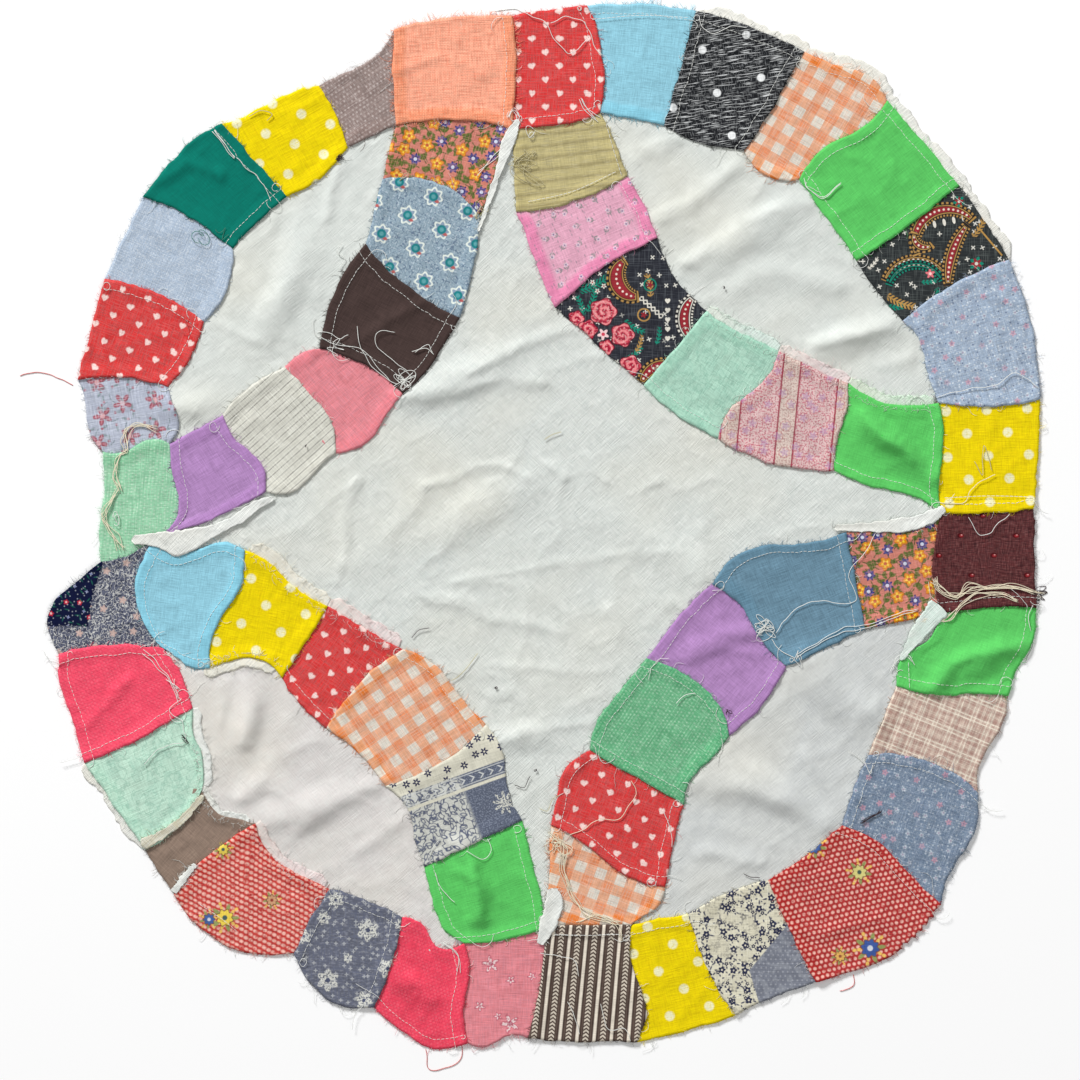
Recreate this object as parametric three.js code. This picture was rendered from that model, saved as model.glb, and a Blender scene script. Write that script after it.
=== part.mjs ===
// One ring of a double wedding ring quilt top, lying wrong side up on a flat surface.
// Millimetres, +Z up, +X to the right and +Y away. The origin is under the middle of the ring.
//
// The ring is sewn from a star-shaped centre, four melons, four inner arcs, four outer arcs and
// eight end squares. Each is one thin solid here, and its seams show as low ridges.

import * as THREE from "three";

// Driving sizes.
const CLOTH = 1.1; // thickness of one layer with its nap and slack
const SEAM_RISE = 0.7; // extra height where seam allowances lie doubled
const GAP = 0.3; // clear distance between neighbouring pieces
const REMNANT_WIDTH = { ne: 6, sw: 3.5 }; // cloth left outside the ring by a torn-off neighbour

// A wedge is divided at these shares of its width, and an arc at these shares of its depth.
// The first and last share are about one seam allowance from the seam.
const ACROSS_WEDGE = [0, 0.14, 0.5, 0.86];
const ALONG_DEPTH = [0, 0.14, 0.5, 0.86, 1];
const WEDGES = 6;
const RELAXING_PASSES = 12;

// Every seam and edge is a nearly straight line with a bow (its bulge in the middle) and a sway
// (an S-bend, out in the first half and in in the second). Both are positive to the left.

// The seams that cross the ring, clockwise from the top. Each row gives the seam's root, beside
// the melon or inner arc, its rim at the outer edge, and its bend. It also gives the bends of the
// rim and of the root edge from there to the next seam, where positive bulges outward.
const RING_SEAMS = [
  { root: [-16, 199], rim: [-16, 256], seam: [-2, 0], rimBend: [0.5, 0], rootBend: [-2, 1] },
  { root: [28, 207.5], rim: [21.5, 261], seam: [-4.5, 0], rimBend: [2, 0], rootBend: [0, 0] },
  { root: [60, 201], rim: [76, 258.5], seam: [0, 0], rimBend: [2, 0], rootBend: [-2.5, 0] },
  { root: [100, 188.5], rim: [130, 238], seam: [-1, 0], rimBend: [4.5, -2], rootBend: [-6, 0] },
  { root: [127.5, 174], rim: [171.5, 213.5], seam: [1, 3], rimBend: [0.3, 0], rootBend: [0, 0] },
  { root: [156, 133.5], rim: [207.5, 171], seam: [-1, 0], rimBend: [1, 0], rootBend: [-1, 0] },
  { root: [179, 103.5], rim: [232, 134], seam: [3, 0], rimBend: [4, 0], rootBend: [3, 1.5] },
  { root: [197, 62.5], rim: [248, 64.5], seam: [-3, 0], rimBend: [1, 0], rootBend: [1, 1.5] },
  { root: [198.5, 7.5], rim: [244.5, 9.5], seam: [-1, 0], rimBend: [0, 0], rootBend: [-4, 0] },
  { root: [198, -43], rim: [246, -40], seam: [1.5, 0], rimBend: [2, 1.5], rootBend: [-1.5, 3.5] },
  { root: [176, -79], rim: [232, -84], seam: [-2, -1], rimBend: [-1.5, 2.5], rootBend: [0, 0] },
  { root: [162, -113.5], rim: [217, -132.5], seam: [7, 0], rimBend: [2.5, 2.5], rootBend: [-1, 0] },
  { root: [149, -148.5], rim: [198.5, -188], seam: [3.5, 1.5], rimBend: [8.5, 1], rootBend: [1, 0] },
  { root: [112, -176], rim: [136, -227], seam: [-1, 0], rimBend: [-1, 0], rootBend: [-2, 0] },
  { root: [72, -192.5], rim: [96, -243.5], seam: [-3, 0], rimBend: [1, 0], rootBend: [-0.5, 0] },
  { root: [43.5, -198.5], rim: [46.5, -257], seam: [2.5, -3.5], rimBend: [0.5, 0], rootBend: [-1, 0] },
  { root: [1, -200], rim: [-8, -255], seam: [2, 0], rimBend: [0, -2.7], rootBend: [2, 0] },
  { root: [-40, -207.5], rim: [-38, -257.5], seam: [0.5, 2], rimBend: [8.5, 2], rootBend: [3.5, 4.5] },
  { root: [-71, -194.5], rim: [-85, -239.5], seam: [2, 0], rimBend: [9.5, 0.5], rootBend: [-1.5, 0] },
  { root: [-107, -180.5], rim: [-125, -212.5], seam: [-1, 0], rimBend: [11.5, 0], rootBend: [6.5, -1] },
  { root: [-144, -147.5], rim: [-185, -183], seam: [-3.5, 0], rimBend: [0, 0], rootBend: [5, -1] },
  { root: [-171, -131], rim: [-199.5, -160.5], seam: [4, 0], rimBend: [0, 0], rootBend: [-1, -1.5] },
  { root: [-175.5, -90], rim: [-229.5, -117.5], seam: [1.5, 0], rimBend: [2, -1], rootBend: [-2.6, 0] },
  { root: [-190.5, -60], rim: [-242.5, -63], seam: [-3, 0], rimBend: [12, 3], rootBend: [11.5, 0] },
  { root: [-195, -6], rim: [-221.5, -17], seam: [2, 0], rimBend: [0, 1], rootBend: [-8, -3] },
  { root: [-187, 42], rim: [-220.5, 38], seam: [-1.5, -2.5], rimBend: [1.5, 1.5], rootBend: [-4.5, -1.5] },
  { root: [-188, 70.5], rim: [-233, 74], seam: [-3, 0], rimBend: [0, 0], rootBend: [-3, 0] },
  { root: [-170, 103], rim: [-219.5, 124.5], seam: [-4, 0], rimBend: [0, 0], rootBend: [-5, 0] },
  { root: [-155.5, 139.5], rim: [-200.5, 165.5], seam: [-3, 0], rimBend: [4, -1], rootBend: [1, 0] },
  { root: [-128.5, 165.5], rim: [-161, 202], seam: [0, 0], rimBend: [1, -1.5], rootBend: [-3, 0] },
  { root: [-98, 190], rim: [-112.5, 221], seam: [-1, 0], rimBend: [-4.5, 1], rootBend: [0, 0] },
  { root: [-74, 201], rim: [-75, 249], seam: [1, 0], rimBend: [2.5, 0], rootBend: [4, 0] },
];

// The seams that cross each inner arc, clockwise, from the melon to the centre. The first row has
// no seam of its own, because the arc starts against an end square. The bends are those of the
// seam, and of the edges beside the melon and the centre from there to the next seam.
const INNER_SEAMS = {
  ne: [
    { melonBend: [1, 0], centreBend: [0, 0] },
    { melon: [41.7, 176], centre: [-14, 158], seam: [4, 0], melonBend: [1, 0], centreBend: [0, 0] },
    { melon: [56.7, 145], centre: [5.5, 110], seam: [-3, 0], melonBend: [-4, 0], centreBend: [0, 0] },
    { melon: [81.3, 108.5], centre: [49.7, 71.5], seam: [0, 0], melonBend: [-1.5, 0], centreBend: [-2.5, 0] },
    { melon: [117.2, 88.5], centre: [87, 44.6], seam: [-0.5, 3], melonBend: [-1, 0], centreBend: [-5, 0] },
    { melon: [152, 72.5], centre: [145, 28.5], seam: [0, 1], melonBend: [-5.5, 0], centreBend: [1, -1.5] },
  ],
  se: [
    { melonBend: [0, 0], centreBend: [5, 2] },
    { melon: [160.5, -50.5], centre: [151, -2], seam: [0, 0], melonBend: [0, 0], centreBend: [-7, 4] },
    { melon: [121, -69], centre: [84, -28], seam: [-1.5, 2], melonBend: [3, 0], centreBend: [-1.5, 0] },
    { melon: [92.5, -104], centre: [51.3, -65], seam: [-9, -1], melonBend: [-3, 2], centreBend: [-4, 1.5] },
    { melon: [70, -138.5], centre: [23, -111], seam: [0, 0], melonBend: [-1, 0], centreBend: [-6, -1.5] },
    { melon: [60.5, -179.3], centre: [3.5, -148.5], seam: [3, 2], melonBend: [3, 1], centreBend: [0, 0] },
  ],
  sw: [
    { melonBend: [5, 1.5], centreBend: [-1, 0] },
    { melon: [-59.7, -169.3], centre: [-11, -146], seam: [0, 0], melonBend: [-4, 2], centreBend: [-1, 2] },
    { melon: [-79.3, -128.8], centre: [-29, -98], seam: [-5, 0], melonBend: [-2, 0], centreBend: [-4, 2] },
    { melon: [-108.7, -100.2], centre: [-70.5, -60.5], seam: [4, 0], melonBend: [2, 0], centreBend: [1, 0] },
    { melon: [-130.8, -75], centre: [-108, -39], seam: [0, 0], melonBend: [-8, -1], centreBend: [0, 2] },
    { melon: [-167, -70], centre: [-149.5, -11], seam: [0, 3], melonBend: [2.6, 1], centreBend: [2, -4] },
  ],
  nw: [
    { melonBend: [-0.5, 0], centreBend: [-2, 0] },
    { melon: [-160.5, 56.5], centre: [-139, 18], seam: [2.5, -3], melonBend: [3, 0], centreBend: [-5, -2.5] },
    { melon: [-129.5, 80.5], centre: [-104, 37], seam: [5.5, -1.5], melonBend: [1.5, 0], centreBend: [-5, -2] },
    { melon: [-112, 89.5], centre: [-70.5, 67], seam: [3.5, 0], melonBend: [5, 0], centreBend: [-2.5, 0] },
    { melon: [-89, 142], centre: [-42, 105], seam: [-4, 0], melonBend: [0, 0], centreBend: [-2, 0] },
    { melon: [-80.5, 174.5], centre: [-32, 156], seam: [8, 0], melonBend: [0, 0], centreBend: [0, 0] },
  ],
};

// Where each quarter's arcs start among the ring seams, and their plain colours.
const QUARTERS = {
  ne: { first: 1, outer: 0xd98a63, inner: 0xb4b890 },
  se: { first: 9, outer: 0x9a5f58, inner: 0x8a88b0 },
  sw: { first: 17, outer: 0xc85a62, inner: 0xb0b45a },
  nw: { first: 25, outer: 0x7f9a90, inner: 0x9a8a9a },
};

// The end squares, by the ring seam that each starts from.
const END_SQUARES = [
  { name: "square_north_east", first: 0, colour: 0xd63c3e },
  { name: "square_east_north", first: 7, colour: 0xf0d714 },
  { name: "square_east_south", first: 8, colour: 0x5f3234 },
  { name: "square_south_east", first: 15, colour: 0x5a4b44 },
  { name: "square_south_west", first: 16, colour: 0xdc8288 },
  { name: "square_west_south", first: 23, colour: 0x4a4a58 },
  { name: "square_west_north", first: 24, colour: 0x8ccda5 },
  { name: "square_north_west", first: 31, colour: 0xfaaa8c },
];

const MUSLIN = 0xdadedc;

// Soft folds that lift the cloth off the surface, one row for each. A fold runs both ways from its
// middle at x, y, turned from +X, and fades to nothing at half its length and width.
const FOLDS = [
  { x: -42, y: 75, turn: 22, length: 90, width: 26, height: 2.4 },
  { x: -30, y: 8, turn: 28, length: 110, width: 30, height: 1.6 },
  { x: 60, y: -12, turn: -35, length: 100, width: 30, height: 1.5 },
  { x: -12, y: -106, turn: 4, length: 60, width: 22, height: 1.8 },
  { x: 100, y: 145, turn: 35, length: 90, width: 26, height: 2.6 },
  { x: 155, y: 95, turn: 20, length: 80, width: 24, height: 2.4 },
  { x: 108, y: -128, turn: -20, length: 80, width: 26, height: 2.6 },
  { x: 140, y: -82, turn: -45, length: 80, width: 24, height: 2.8 },
  { x: -120, y: -140, turn: 15, length: 90, width: 26, height: 2.6 },
  { x: -150, y: -95, turn: 75, length: 60, width: 22, height: 2.2 },
  { x: -130, y: 120, turn: 65, length: 90, width: 26, height: 2.4 },
  { x: -178, y: 62, turn: 5, length: 50, width: 22, height: 2 },
  { x: 215, y: -68, turn: 25, length: 60, width: 20, height: 2.6 },
  { x: 172, y: 42, turn: -38, length: 60, width: 22, height: 2.4 },
  { x: -34, y: -180, turn: -80, length: 60, width: 18, height: 2 },
  { x: 85, y: -58, turn: 22, length: 60, width: 16, height: 1.8 },
  { x: -70, y: -228, turn: -45, length: 50, width: 18, height: 1.8 },
];

function edge(from, to, [bow, sway]) {
  const dx = to[0] - from[0];
  const dy = to[1] - from[1];
  const length = Math.hypot(dx, dy);
  return (t) => {
    const push = bow * 4 * t * (1 - t) + sway * Math.sin(2 * Math.PI * t);
    return [from[0] + dx * t - (dy / length) * push, from[1] + dy * t + (dx / length) * push];
  };
}

function reversed(line) {
  return (t) => line(1 - t);
}

// Several edges end to end, as one line.
function chain(edges) {
  return (t) => {
    const place = t * edges.length;
    const index = Math.min(Math.floor(place), edges.length - 1);
    return edges[index](place - index);
  };
}

// The smooth patch between four lines: near and far run along u, left and right along v.
function patch(near, far, left, right) {
  return (u, v) =>
    [0, 1].map((k) => {
      const ruled = (1 - v) * near(u)[k] + v * far(u)[k] + (1 - u) * left(v)[k] + u * right(v)[k];
      const start = (1 - u) * ((1 - v) * near(0)[k] + v * far(0)[k]);
      const end = u * ((1 - v) * near(1)[k] + v * far(1)[k]);
      return ruled - start - end;
    });
}

// How far the folds lift the cloth at a place.
function lift(x, y) {
  let height = 0;
  for (const fold of FOLDS) {
    const turn = THREE.MathUtils.degToRad(fold.turn);
    const along = (x - fold.x) * Math.cos(turn) + (y - fold.y) * Math.sin(turn);
    const across = (y - fold.y) * Math.cos(turn) - (x - fold.x) * Math.sin(turn);
    height += fold.height * hump(along / (fold.length / 2)) * hump(across / (fold.width / 2));
  }
  return height;
}

// One at the middle, nothing from one unit away on.
function hump(distance) {
  return Math.abs(distance) < 1 ? 0.5 + 0.5 * Math.cos(Math.PI * distance) : 0;
}

// Ring and inner seams as lines, by name.
const ringSeam = (index) => RING_SEAMS[index % RING_SEAMS.length];
const crossing = (index) => edge(ringSeam(index).root, ringSeam(index).rim, ringSeam(index).seam);
const rimEdge = (index) => edge(ringSeam(index).rim, ringSeam(index + 1).rim, ringSeam(index).rimBend);
const rootEdge = (index) => edge(ringSeam(index).root, ringSeam(index + 1).root, ringSeam(index).rootBend);

// An inner arc's seams and edges. Its ends are the root edges of the two end squares beside it.
function innerArcLines(quarter) {
  const { first } = QUARTERS[quarter];
  const rows = INNER_SEAMS[quarter];
  const last = first + WEDGES;
  const melonPoints = [ringSeam(first).root, ...rows.slice(1).map((row) => row.melon), ringSeam(last).root];
  const centrePoints = [
    ringSeam(first - 1).root,
    ...rows.slice(1).map((row) => row.centre),
    ringSeam(last + 1).root,
  ];
  return {
    seams: [
      reversed(rootEdge(first - 1)),
      ...rows.slice(1).map((row) => edge(row.melon, row.centre, row.seam)),
      rootEdge(last),
    ],
    melonSide: rows.map((row, i) => edge(melonPoints[i], melonPoints[i + 1], row.melonBend)),
    centreSide: rows.map((row, i) => edge(centrePoints[i], centrePoints[i + 1], row.centreBend)),
  };
}

// The shares along a line of several wedges.
function shares(wedges) {
  const stops = [];
  for (let wedge = 0; wedge < wedges; wedge += 1) {
    for (const share of ACROSS_WEDGE) {
      stops.push((wedge + share) / wedges);
    }
  }
  stops.push(1);
  return stops;
}

// Grid of a row of wedges. The seams and the near edge are sewn, so the cloth is thicker there.
function wedgeGrid(near, far, seams, sewnFar) {
  const grid = [];
  near.forEach((nearEdge, wedge) => {
    const place = patch(nearEdge, far[wedge], seams[wedge], seams[wedge + 1]);
    const stops = wedge === near.length - 1 ? [...ACROSS_WEDGE, 1] : ACROSS_WEDGE;
    for (const u of stops) {
      grid.push(
        ALONG_DEPTH.map((v) => {
          const sewn = u === 0 || u === 1 || v === 0 || (v === 1 && sewnFar);
          return { at: place(u, v), rise: sewn ? SEAM_RISE : 0 };
        }),
      );
    }
  });
  return grid;
}

// Grid of a piece that is one smooth patch, sewn all round.
function patchGrid(place, columns, rows) {
  return columns.map((u, i) =>
    rows.map((v, j) => {
      const sewn = i === 0 || j === 0 || i === columns.length - 1 || j === rows.length - 1;
      return { at: place(u, v), rise: sewn ? SEAM_RISE : 0 };
    }),
  );
}

// The grid's border, counter-clockwise or clockwise as the grid has it, as [column, row] pairs.
function border(columns, rows) {
  const loop = [];
  for (let i = 0; i < columns - 1; i += 1) loop.push([i, 0]);
  for (let j = 0; j < rows - 1; j += 1) loop.push([columns - 1, j]);
  for (let i = columns - 1; i > 0; i -= 1) loop.push([i, rows - 1]);
  for (let j = rows - 1; j > 0; j -= 1) loop.push([0, j]);
  return loop;
}

function turnOf(loop, grid) {
  let area = 0;
  loop.forEach(([i, j], index) => {
    const [nextI, nextJ] = loop[(index + 1) % loop.length];
    const [ax, ay] = grid[i][j].at;
    const [bx, by] = grid[nextI][nextJ].at;
    area += ax * by - bx * ay;
  });
  return Math.sign(area);
}

function leftNormal(from, to) {
  const dx = to[0] - from[0];
  const dy = to[1] - from[1];
  const length = Math.hypot(dx, dy);
  return [-dy / length, dx / length];
}

// Draws the border in by half the gap, so that neighbours stay clear of each other.
function drawnIn(grid, loop, turn) {
  const inset = grid.map((column) => column.map((knot) => ({ ...knot })));
  loop.forEach(([i, j], index) => {
    const [beforeI, beforeJ] = loop[(index + loop.length - 1) % loop.length];
    const [afterI, afterJ] = loop[(index + 1) % loop.length];
    const here = grid[i][j].at;
    const before = leftNormal(grid[beforeI][beforeJ].at, here);
    const after = leftNormal(here, grid[afterI][afterJ].at);
    const spread = 1 + before[0] * after[0] + before[1] * after[1];
    const step = (turn * GAP) / 2 / spread;
    inset[i][j].at = [here[0] + (before[0] + after[0]) * step, here[1] + (before[1] + after[1]) * step];
  });
  return inset;
}

// A thin closed solid over a grid: its underside follows the folds, its top is one layer higher.
function clothGeometry(rawGrid) {
  const columns = rawGrid.length;
  const rows = rawGrid[0].length;
  const loop = border(columns, rows);
  const turn = turnOf(loop, rawGrid);
  const grid = drawnIn(rawGrid, loop, turn);
  const positions = [];
  for (const level of [0, 1]) {
    for (const column of grid) {
      for (const { at, rise } of column) {
        positions.push(at[0], at[1], lift(at[0], at[1]) + level * (CLOTH + rise));
      }
    }
  }
  const bottom = (i, j) => i * rows + j;
  const top = (i, j) => columns * rows + i * rows + j;
  const faces = [];
  const quad = (a, b, c, d) => faces.push(...(turn > 0 ? [a, b, c, a, c, d] : [a, c, b, a, d, c]));
  for (let i = 0; i < columns - 1; i += 1) {
    for (let j = 0; j < rows - 1; j += 1) {
      quad(top(i, j), top(i + 1, j), top(i + 1, j + 1), top(i, j + 1));
      quad(bottom(i, j), bottom(i, j + 1), bottom(i + 1, j + 1), bottom(i + 1, j));
    }
  }
  loop.forEach(([i, j], index) => {
    const [nextI, nextJ] = loop[(index + 1) % loop.length];
    quad(bottom(i, j), bottom(nextI, nextJ), top(nextI, nextJ), top(i, j));
  });
  const geometry = new THREE.BufferGeometry();
  geometry.setAttribute("position", new THREE.Float32BufferAttribute(positions, 3));
  geometry.setIndex(faces);
  geometry.computeVertexNormals();
  return geometry;
}

function clothPiece(name, grid, colour) {
  const material = new THREE.MeshStandardMaterial({ color: colour, roughness: 0.92, metalness: 0 });
  const mesh = new THREE.Mesh(clothGeometry(grid), material);
  mesh.name = name;
  return mesh;
}

function outerArc(quarter) {
  const { first, outer } = QUARTERS[quarter];
  const indices = Array.from({ length: WEDGES }, (_, i) => first + i);
  const seams = [...indices, first + WEDGES].map(crossing);
  const grid = wedgeGrid(indices.map(rootEdge), indices.map(rimEdge), seams, false);
  return clothPiece(`outer_arc_${quarter}`, grid, outer);
}

function innerArc(quarter) {
  const { seams, melonSide, centreSide } = innerArcLines(quarter);
  const grid = wedgeGrid(melonSide, centreSide, seams, true);
  return clothPiece(`inner_arc_${quarter}`, grid, QUARTERS[quarter].inner);
}

function endSquare({ name, first, colour }) {
  const grid = wedgeGrid([rootEdge(first)], [rimEdge(first)], [crossing(first), crossing(first + 1)], false);
  return clothPiece(name, grid, colour);
}

// A melon lies between an outer arc's root and an inner arc. Its tips are blunt, because they end
// one seam allowance short of where the two arcs meet.
function melon(quarter) {
  const { first } = QUARTERS[quarter];
  const outside = chain(Array.from({ length: WEDGES }, (_, i) => rootEdge(first + i)));
  const inside = chain(innerArcLines(quarter).melonSide);
  const columns = shares(WEDGES).slice(1, -1);
  const place = (u, v) => [0, 1].map((k) => (1 - v) * inside(u)[k] + v * outside(u)[k]);
  return clothPiece(`melon_${quarter}`, patchGrid(place, columns, ALONG_DEPTH), MUSLIN);
}

// Evens out the inside of a grid, so that the bends of its border stay near the border.
function relaxed(grid) {
  for (let pass = 0; pass < RELAXING_PASSES; pass += 1) {
    for (let i = 1; i < grid.length - 1; i += 1) {
      for (let j = 1; j < grid[i].length - 1; j += 1) {
        const around = [grid[i - 1][j], grid[i + 1][j], grid[i][j - 1], grid[i][j + 1]];
        grid[i][j].at = [0, 1].map((k) => around.reduce((sum, knot) => sum + knot.at[k], 0) / around.length);
      }
    }
  }
  return grid;
}

function centre() {
  const side = (quarter) => chain(innerArcLines(quarter).centreSide);
  const place = patch(side("ne"), reversed(side("sw")), reversed(side("nw")), side("se"));
  const stops = shares(WEDGES);
  return clothPiece("centre", relaxed(patchGrid(place, stops, stops)), MUSLIN);
}

// A narrow strip of a neighbouring melon, still sewn to the rim from one ring seam to another.
function remnant(quarter, from, to) {
  const rims = [];
  for (let index = from; index < to; index += 1) {
    rims.push(rimEdge(index));
  }
  const rim = chain(rims);
  const step = 0.5 / (rims.length * ACROSS_WEDGE.length);
  const place = (u, v) => {
    const normal = leftNormal(rim(Math.max(u - step, 0)), rim(Math.min(u + step, 1)));
    return [0, 1].map((k) => rim(u)[k] + normal[k] * v * REMNANT_WIDTH[quarter]);
  };
  return clothPiece(`remnant_${quarter}`, patchGrid(place, shares(rims.length), [0, 1]), MUSLIN);
}

const quiltTop = new THREE.Group();
quiltTop.name = "quilt_top";
quiltTop.add(centre());
for (const quarter of Object.keys(QUARTERS)) {
  quiltTop.add(melon(quarter), innerArc(quarter), outerArc(quarter));
}
for (const square of END_SQUARES) {
  quiltTop.add(endSquare(square));
}
quiltTop.add(remnant("ne", 2, 6), remnant("sw", 21, 22));

// Puts the middle of the ring's box over the origin.
const middle = new THREE.Box3().setFromObject(quiltTop).getCenter(new THREE.Vector3());
quiltTop.position.set(-middle.x, -middle.y, 0);

export default quiltTop;
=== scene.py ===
"""One ring of a double wedding ring quilt top, lying wrong side up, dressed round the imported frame.

Lengths are in millimetres until a mesh is made, and then in metres, as the frame is. Each piece of
cloth is cut between its seams and tucked under its neighbours. The prints are formulas on the
cloth's own x and y.
"""

import math

import bpy
import numpy as np
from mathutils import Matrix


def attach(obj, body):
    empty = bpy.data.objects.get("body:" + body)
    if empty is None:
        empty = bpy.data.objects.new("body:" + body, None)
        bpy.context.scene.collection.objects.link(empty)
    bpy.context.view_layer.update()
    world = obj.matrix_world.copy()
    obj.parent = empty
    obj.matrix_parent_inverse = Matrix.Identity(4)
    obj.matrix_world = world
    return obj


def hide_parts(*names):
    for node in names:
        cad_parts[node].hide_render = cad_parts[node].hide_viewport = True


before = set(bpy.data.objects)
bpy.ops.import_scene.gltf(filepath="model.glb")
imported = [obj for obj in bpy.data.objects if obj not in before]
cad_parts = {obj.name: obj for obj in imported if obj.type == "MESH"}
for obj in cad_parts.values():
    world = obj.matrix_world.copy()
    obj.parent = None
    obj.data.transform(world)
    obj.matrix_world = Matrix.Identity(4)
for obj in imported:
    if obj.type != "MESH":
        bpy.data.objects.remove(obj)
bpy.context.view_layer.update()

MM = 0.001
MIDDLE = (0.54, 2.02)  # where the tables have the middle of the ring's box
ALLOWANCE = 5.5  # how far inside a raw edge its seam is sewn
TUCK = 4.2  # how far a piece reaches under its neighbour
THICKNESS = 0.3  # one layer of cotton
REST = 0.42  # top of a single layer above the surface, or above the folds where there are any
BAND_RISE = 0.62  # a raw edge lies this much higher, on its neighbour's allowance
ON_BAND = REST + BAND_RISE  # the top of a raw edge, in the same way
CELL = 1.4  # size of the mesh's cells on a wedge
MELON_POINTS = (121, 61)  # of the mesh along and across a melon
CENTRE_POINTS = 171  # along each side of the centre
CENTRE_PASSES = 160  # how often the centre's mesh is evened out
STRIP_POINTS = (61, 9)  # along and across a strip
TAB_POINTS = (61, 11)  # along and across a tip that is folded back
LOOSE_POINTS = 48  # along a loose thread
TURN_POINTS = 20  # along one turn of a tangle
FRAY_RADIUS = 0.085  # of the threads along a raw edge
LINT_RADIUS = 0.09  # of the longer pale ones there
TRIM_RADIUS = 0.08  # of those round a strip of muslin
STITCH_RADIUS = 0.125
TAIL_RADIUS = 0.13  # of the loose ends of a row of stitches
LOOSE_RADIUS = 0.17
TANGLE_RADIUS = 0.15
FRAY_SPACING = 1.15  # from one thread to the next along a raw edge
LINT_SPACING = 8  # the same for the longer ones
TAPER = 0.45  # the share of its radius that a thread has at its ends
STITCH = np.array([0.05, 0.25, 0.75, 0.95])  # where a stitch starts, bends and ends, in shares of its pitch
STITCH_HEIGHTS = [-0.08, 0.13, 0.13, -0.08]  # its heights there above the cloth
STITCH_PITCH = 2.2  # from one stitch to the next
STRAY_PITCH = 2.3  # the same in rows that no side of a piece has
ANY_WAY = 6.3  # a little over a whole turn in radians
FIFTH = 2 * math.pi / 5  # a fifth of a turn
RNG = np.random.default_rng(11)

# ---------------------------------------------------------------------------------------------
# The seams, as in the solids' source. A bend is a bow and a sway, both positive to the left.

RING_SEAMS = [
    # root, rim, seam bend, rim bend, root bend
    ((-16, 199), (-16, 256), (-2, 0), (0.5, 0), (-2, 1)),
    ((28, 207.5), (21.5, 261), (-4.5, 0), (2, 0), (0, 0)),
    ((60, 201), (76, 258.5), (0, 0), (2, 0), (-2.5, 0)),
    ((100, 188.5), (130, 238), (-1, 0), (4.5, -2), (-6, 0)),
    ((127.5, 174), (171.5, 213.5), (1, 3), (0.3, 0), (0, 0)),
    ((156, 133.5), (207.5, 171), (-1, 0), (1, 0), (-1, 0)),
    ((179, 103.5), (232, 134), (3, 0), (4, 0), (3, 1.5)),
    ((197, 62.5), (248, 64.5), (-3, 0), (1, 0), (1, 1.5)),
    ((198.5, 7.5), (244.5, 9.5), (-1, 0), (0, 0), (-4, 0)),
    ((198, -43), (246, -40), (1.5, 0), (2, 1.5), (-1.5, 3.5)),
    ((176, -79), (232, -84), (-2, -1), (-1.5, 2.5), (0, 0)),
    ((162, -113.5), (217, -132.5), (7, 0), (2.5, 2.5), (-1, 0)),
    ((149, -148.5), (198.5, -188), (3.5, 1.5), (8.5, 1), (1, 0)),
    ((112, -176), (136, -227), (-1, 0), (-1, 0), (-2, 0)),
    ((72, -192.5), (96, -243.5), (-3, 0), (1, 0), (-0.5, 0)),
    ((43.5, -198.5), (46.5, -257), (2.5, -3.5), (0.5, 0), (-1, 0)),
    ((1, -200), (-8, -255), (2, 0), (0, -2.7), (2, 0)),
    ((-40, -207.5), (-38, -257.5), (0.5, 2), (8.5, 2), (3.5, 4.5)),
    ((-71, -194.5), (-85, -239.5), (2, 0), (9.5, 0.5), (-1.5, 0)),
    ((-107, -180.5), (-125, -212.5), (-1, 0), (11.5, 0), (6.5, -1)),
    ((-144, -147.5), (-185, -183), (-3.5, 0), (0, 0), (5, -1)),
    ((-171, -131), (-199.5, -160.5), (4, 0), (0, 0), (-1, -1.5)),
    ((-175.5, -90), (-229.5, -117.5), (1.5, 0), (2, -1), (-2.6, 0)),
    ((-190.5, -60), (-242.5, -63), (-3, 0), (12, 3), (11.5, 0)),
    ((-195, -6), (-221.5, -17), (2, 0), (0, 1), (-8, -3)),
    ((-187, 42), (-220.5, 38), (-1.5, -2.5), (1.5, 1.5), (-4.5, -1.5)),
    ((-188, 70.5), (-233, 74), (-3, 0), (0, 0), (-3, 0)),
    ((-170, 103), (-219.5, 124.5), (-4, 0), (0, 0), (-5, 0)),
    ((-155.5, 139.5), (-200.5, 165.5), (-3, 0), (4, -1), (1, 0)),
    ((-128.5, 165.5), (-161, 202), (0, 0), (1, -1.5), (-3, 0)),
    ((-98, 190), (-112.5, 221), (-1, 0), (-4.5, 1), (0, 0)),
    ((-74, 201), (-75, 249), (1, 0), (2.5, 0), (4, 0)),
]

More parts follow.
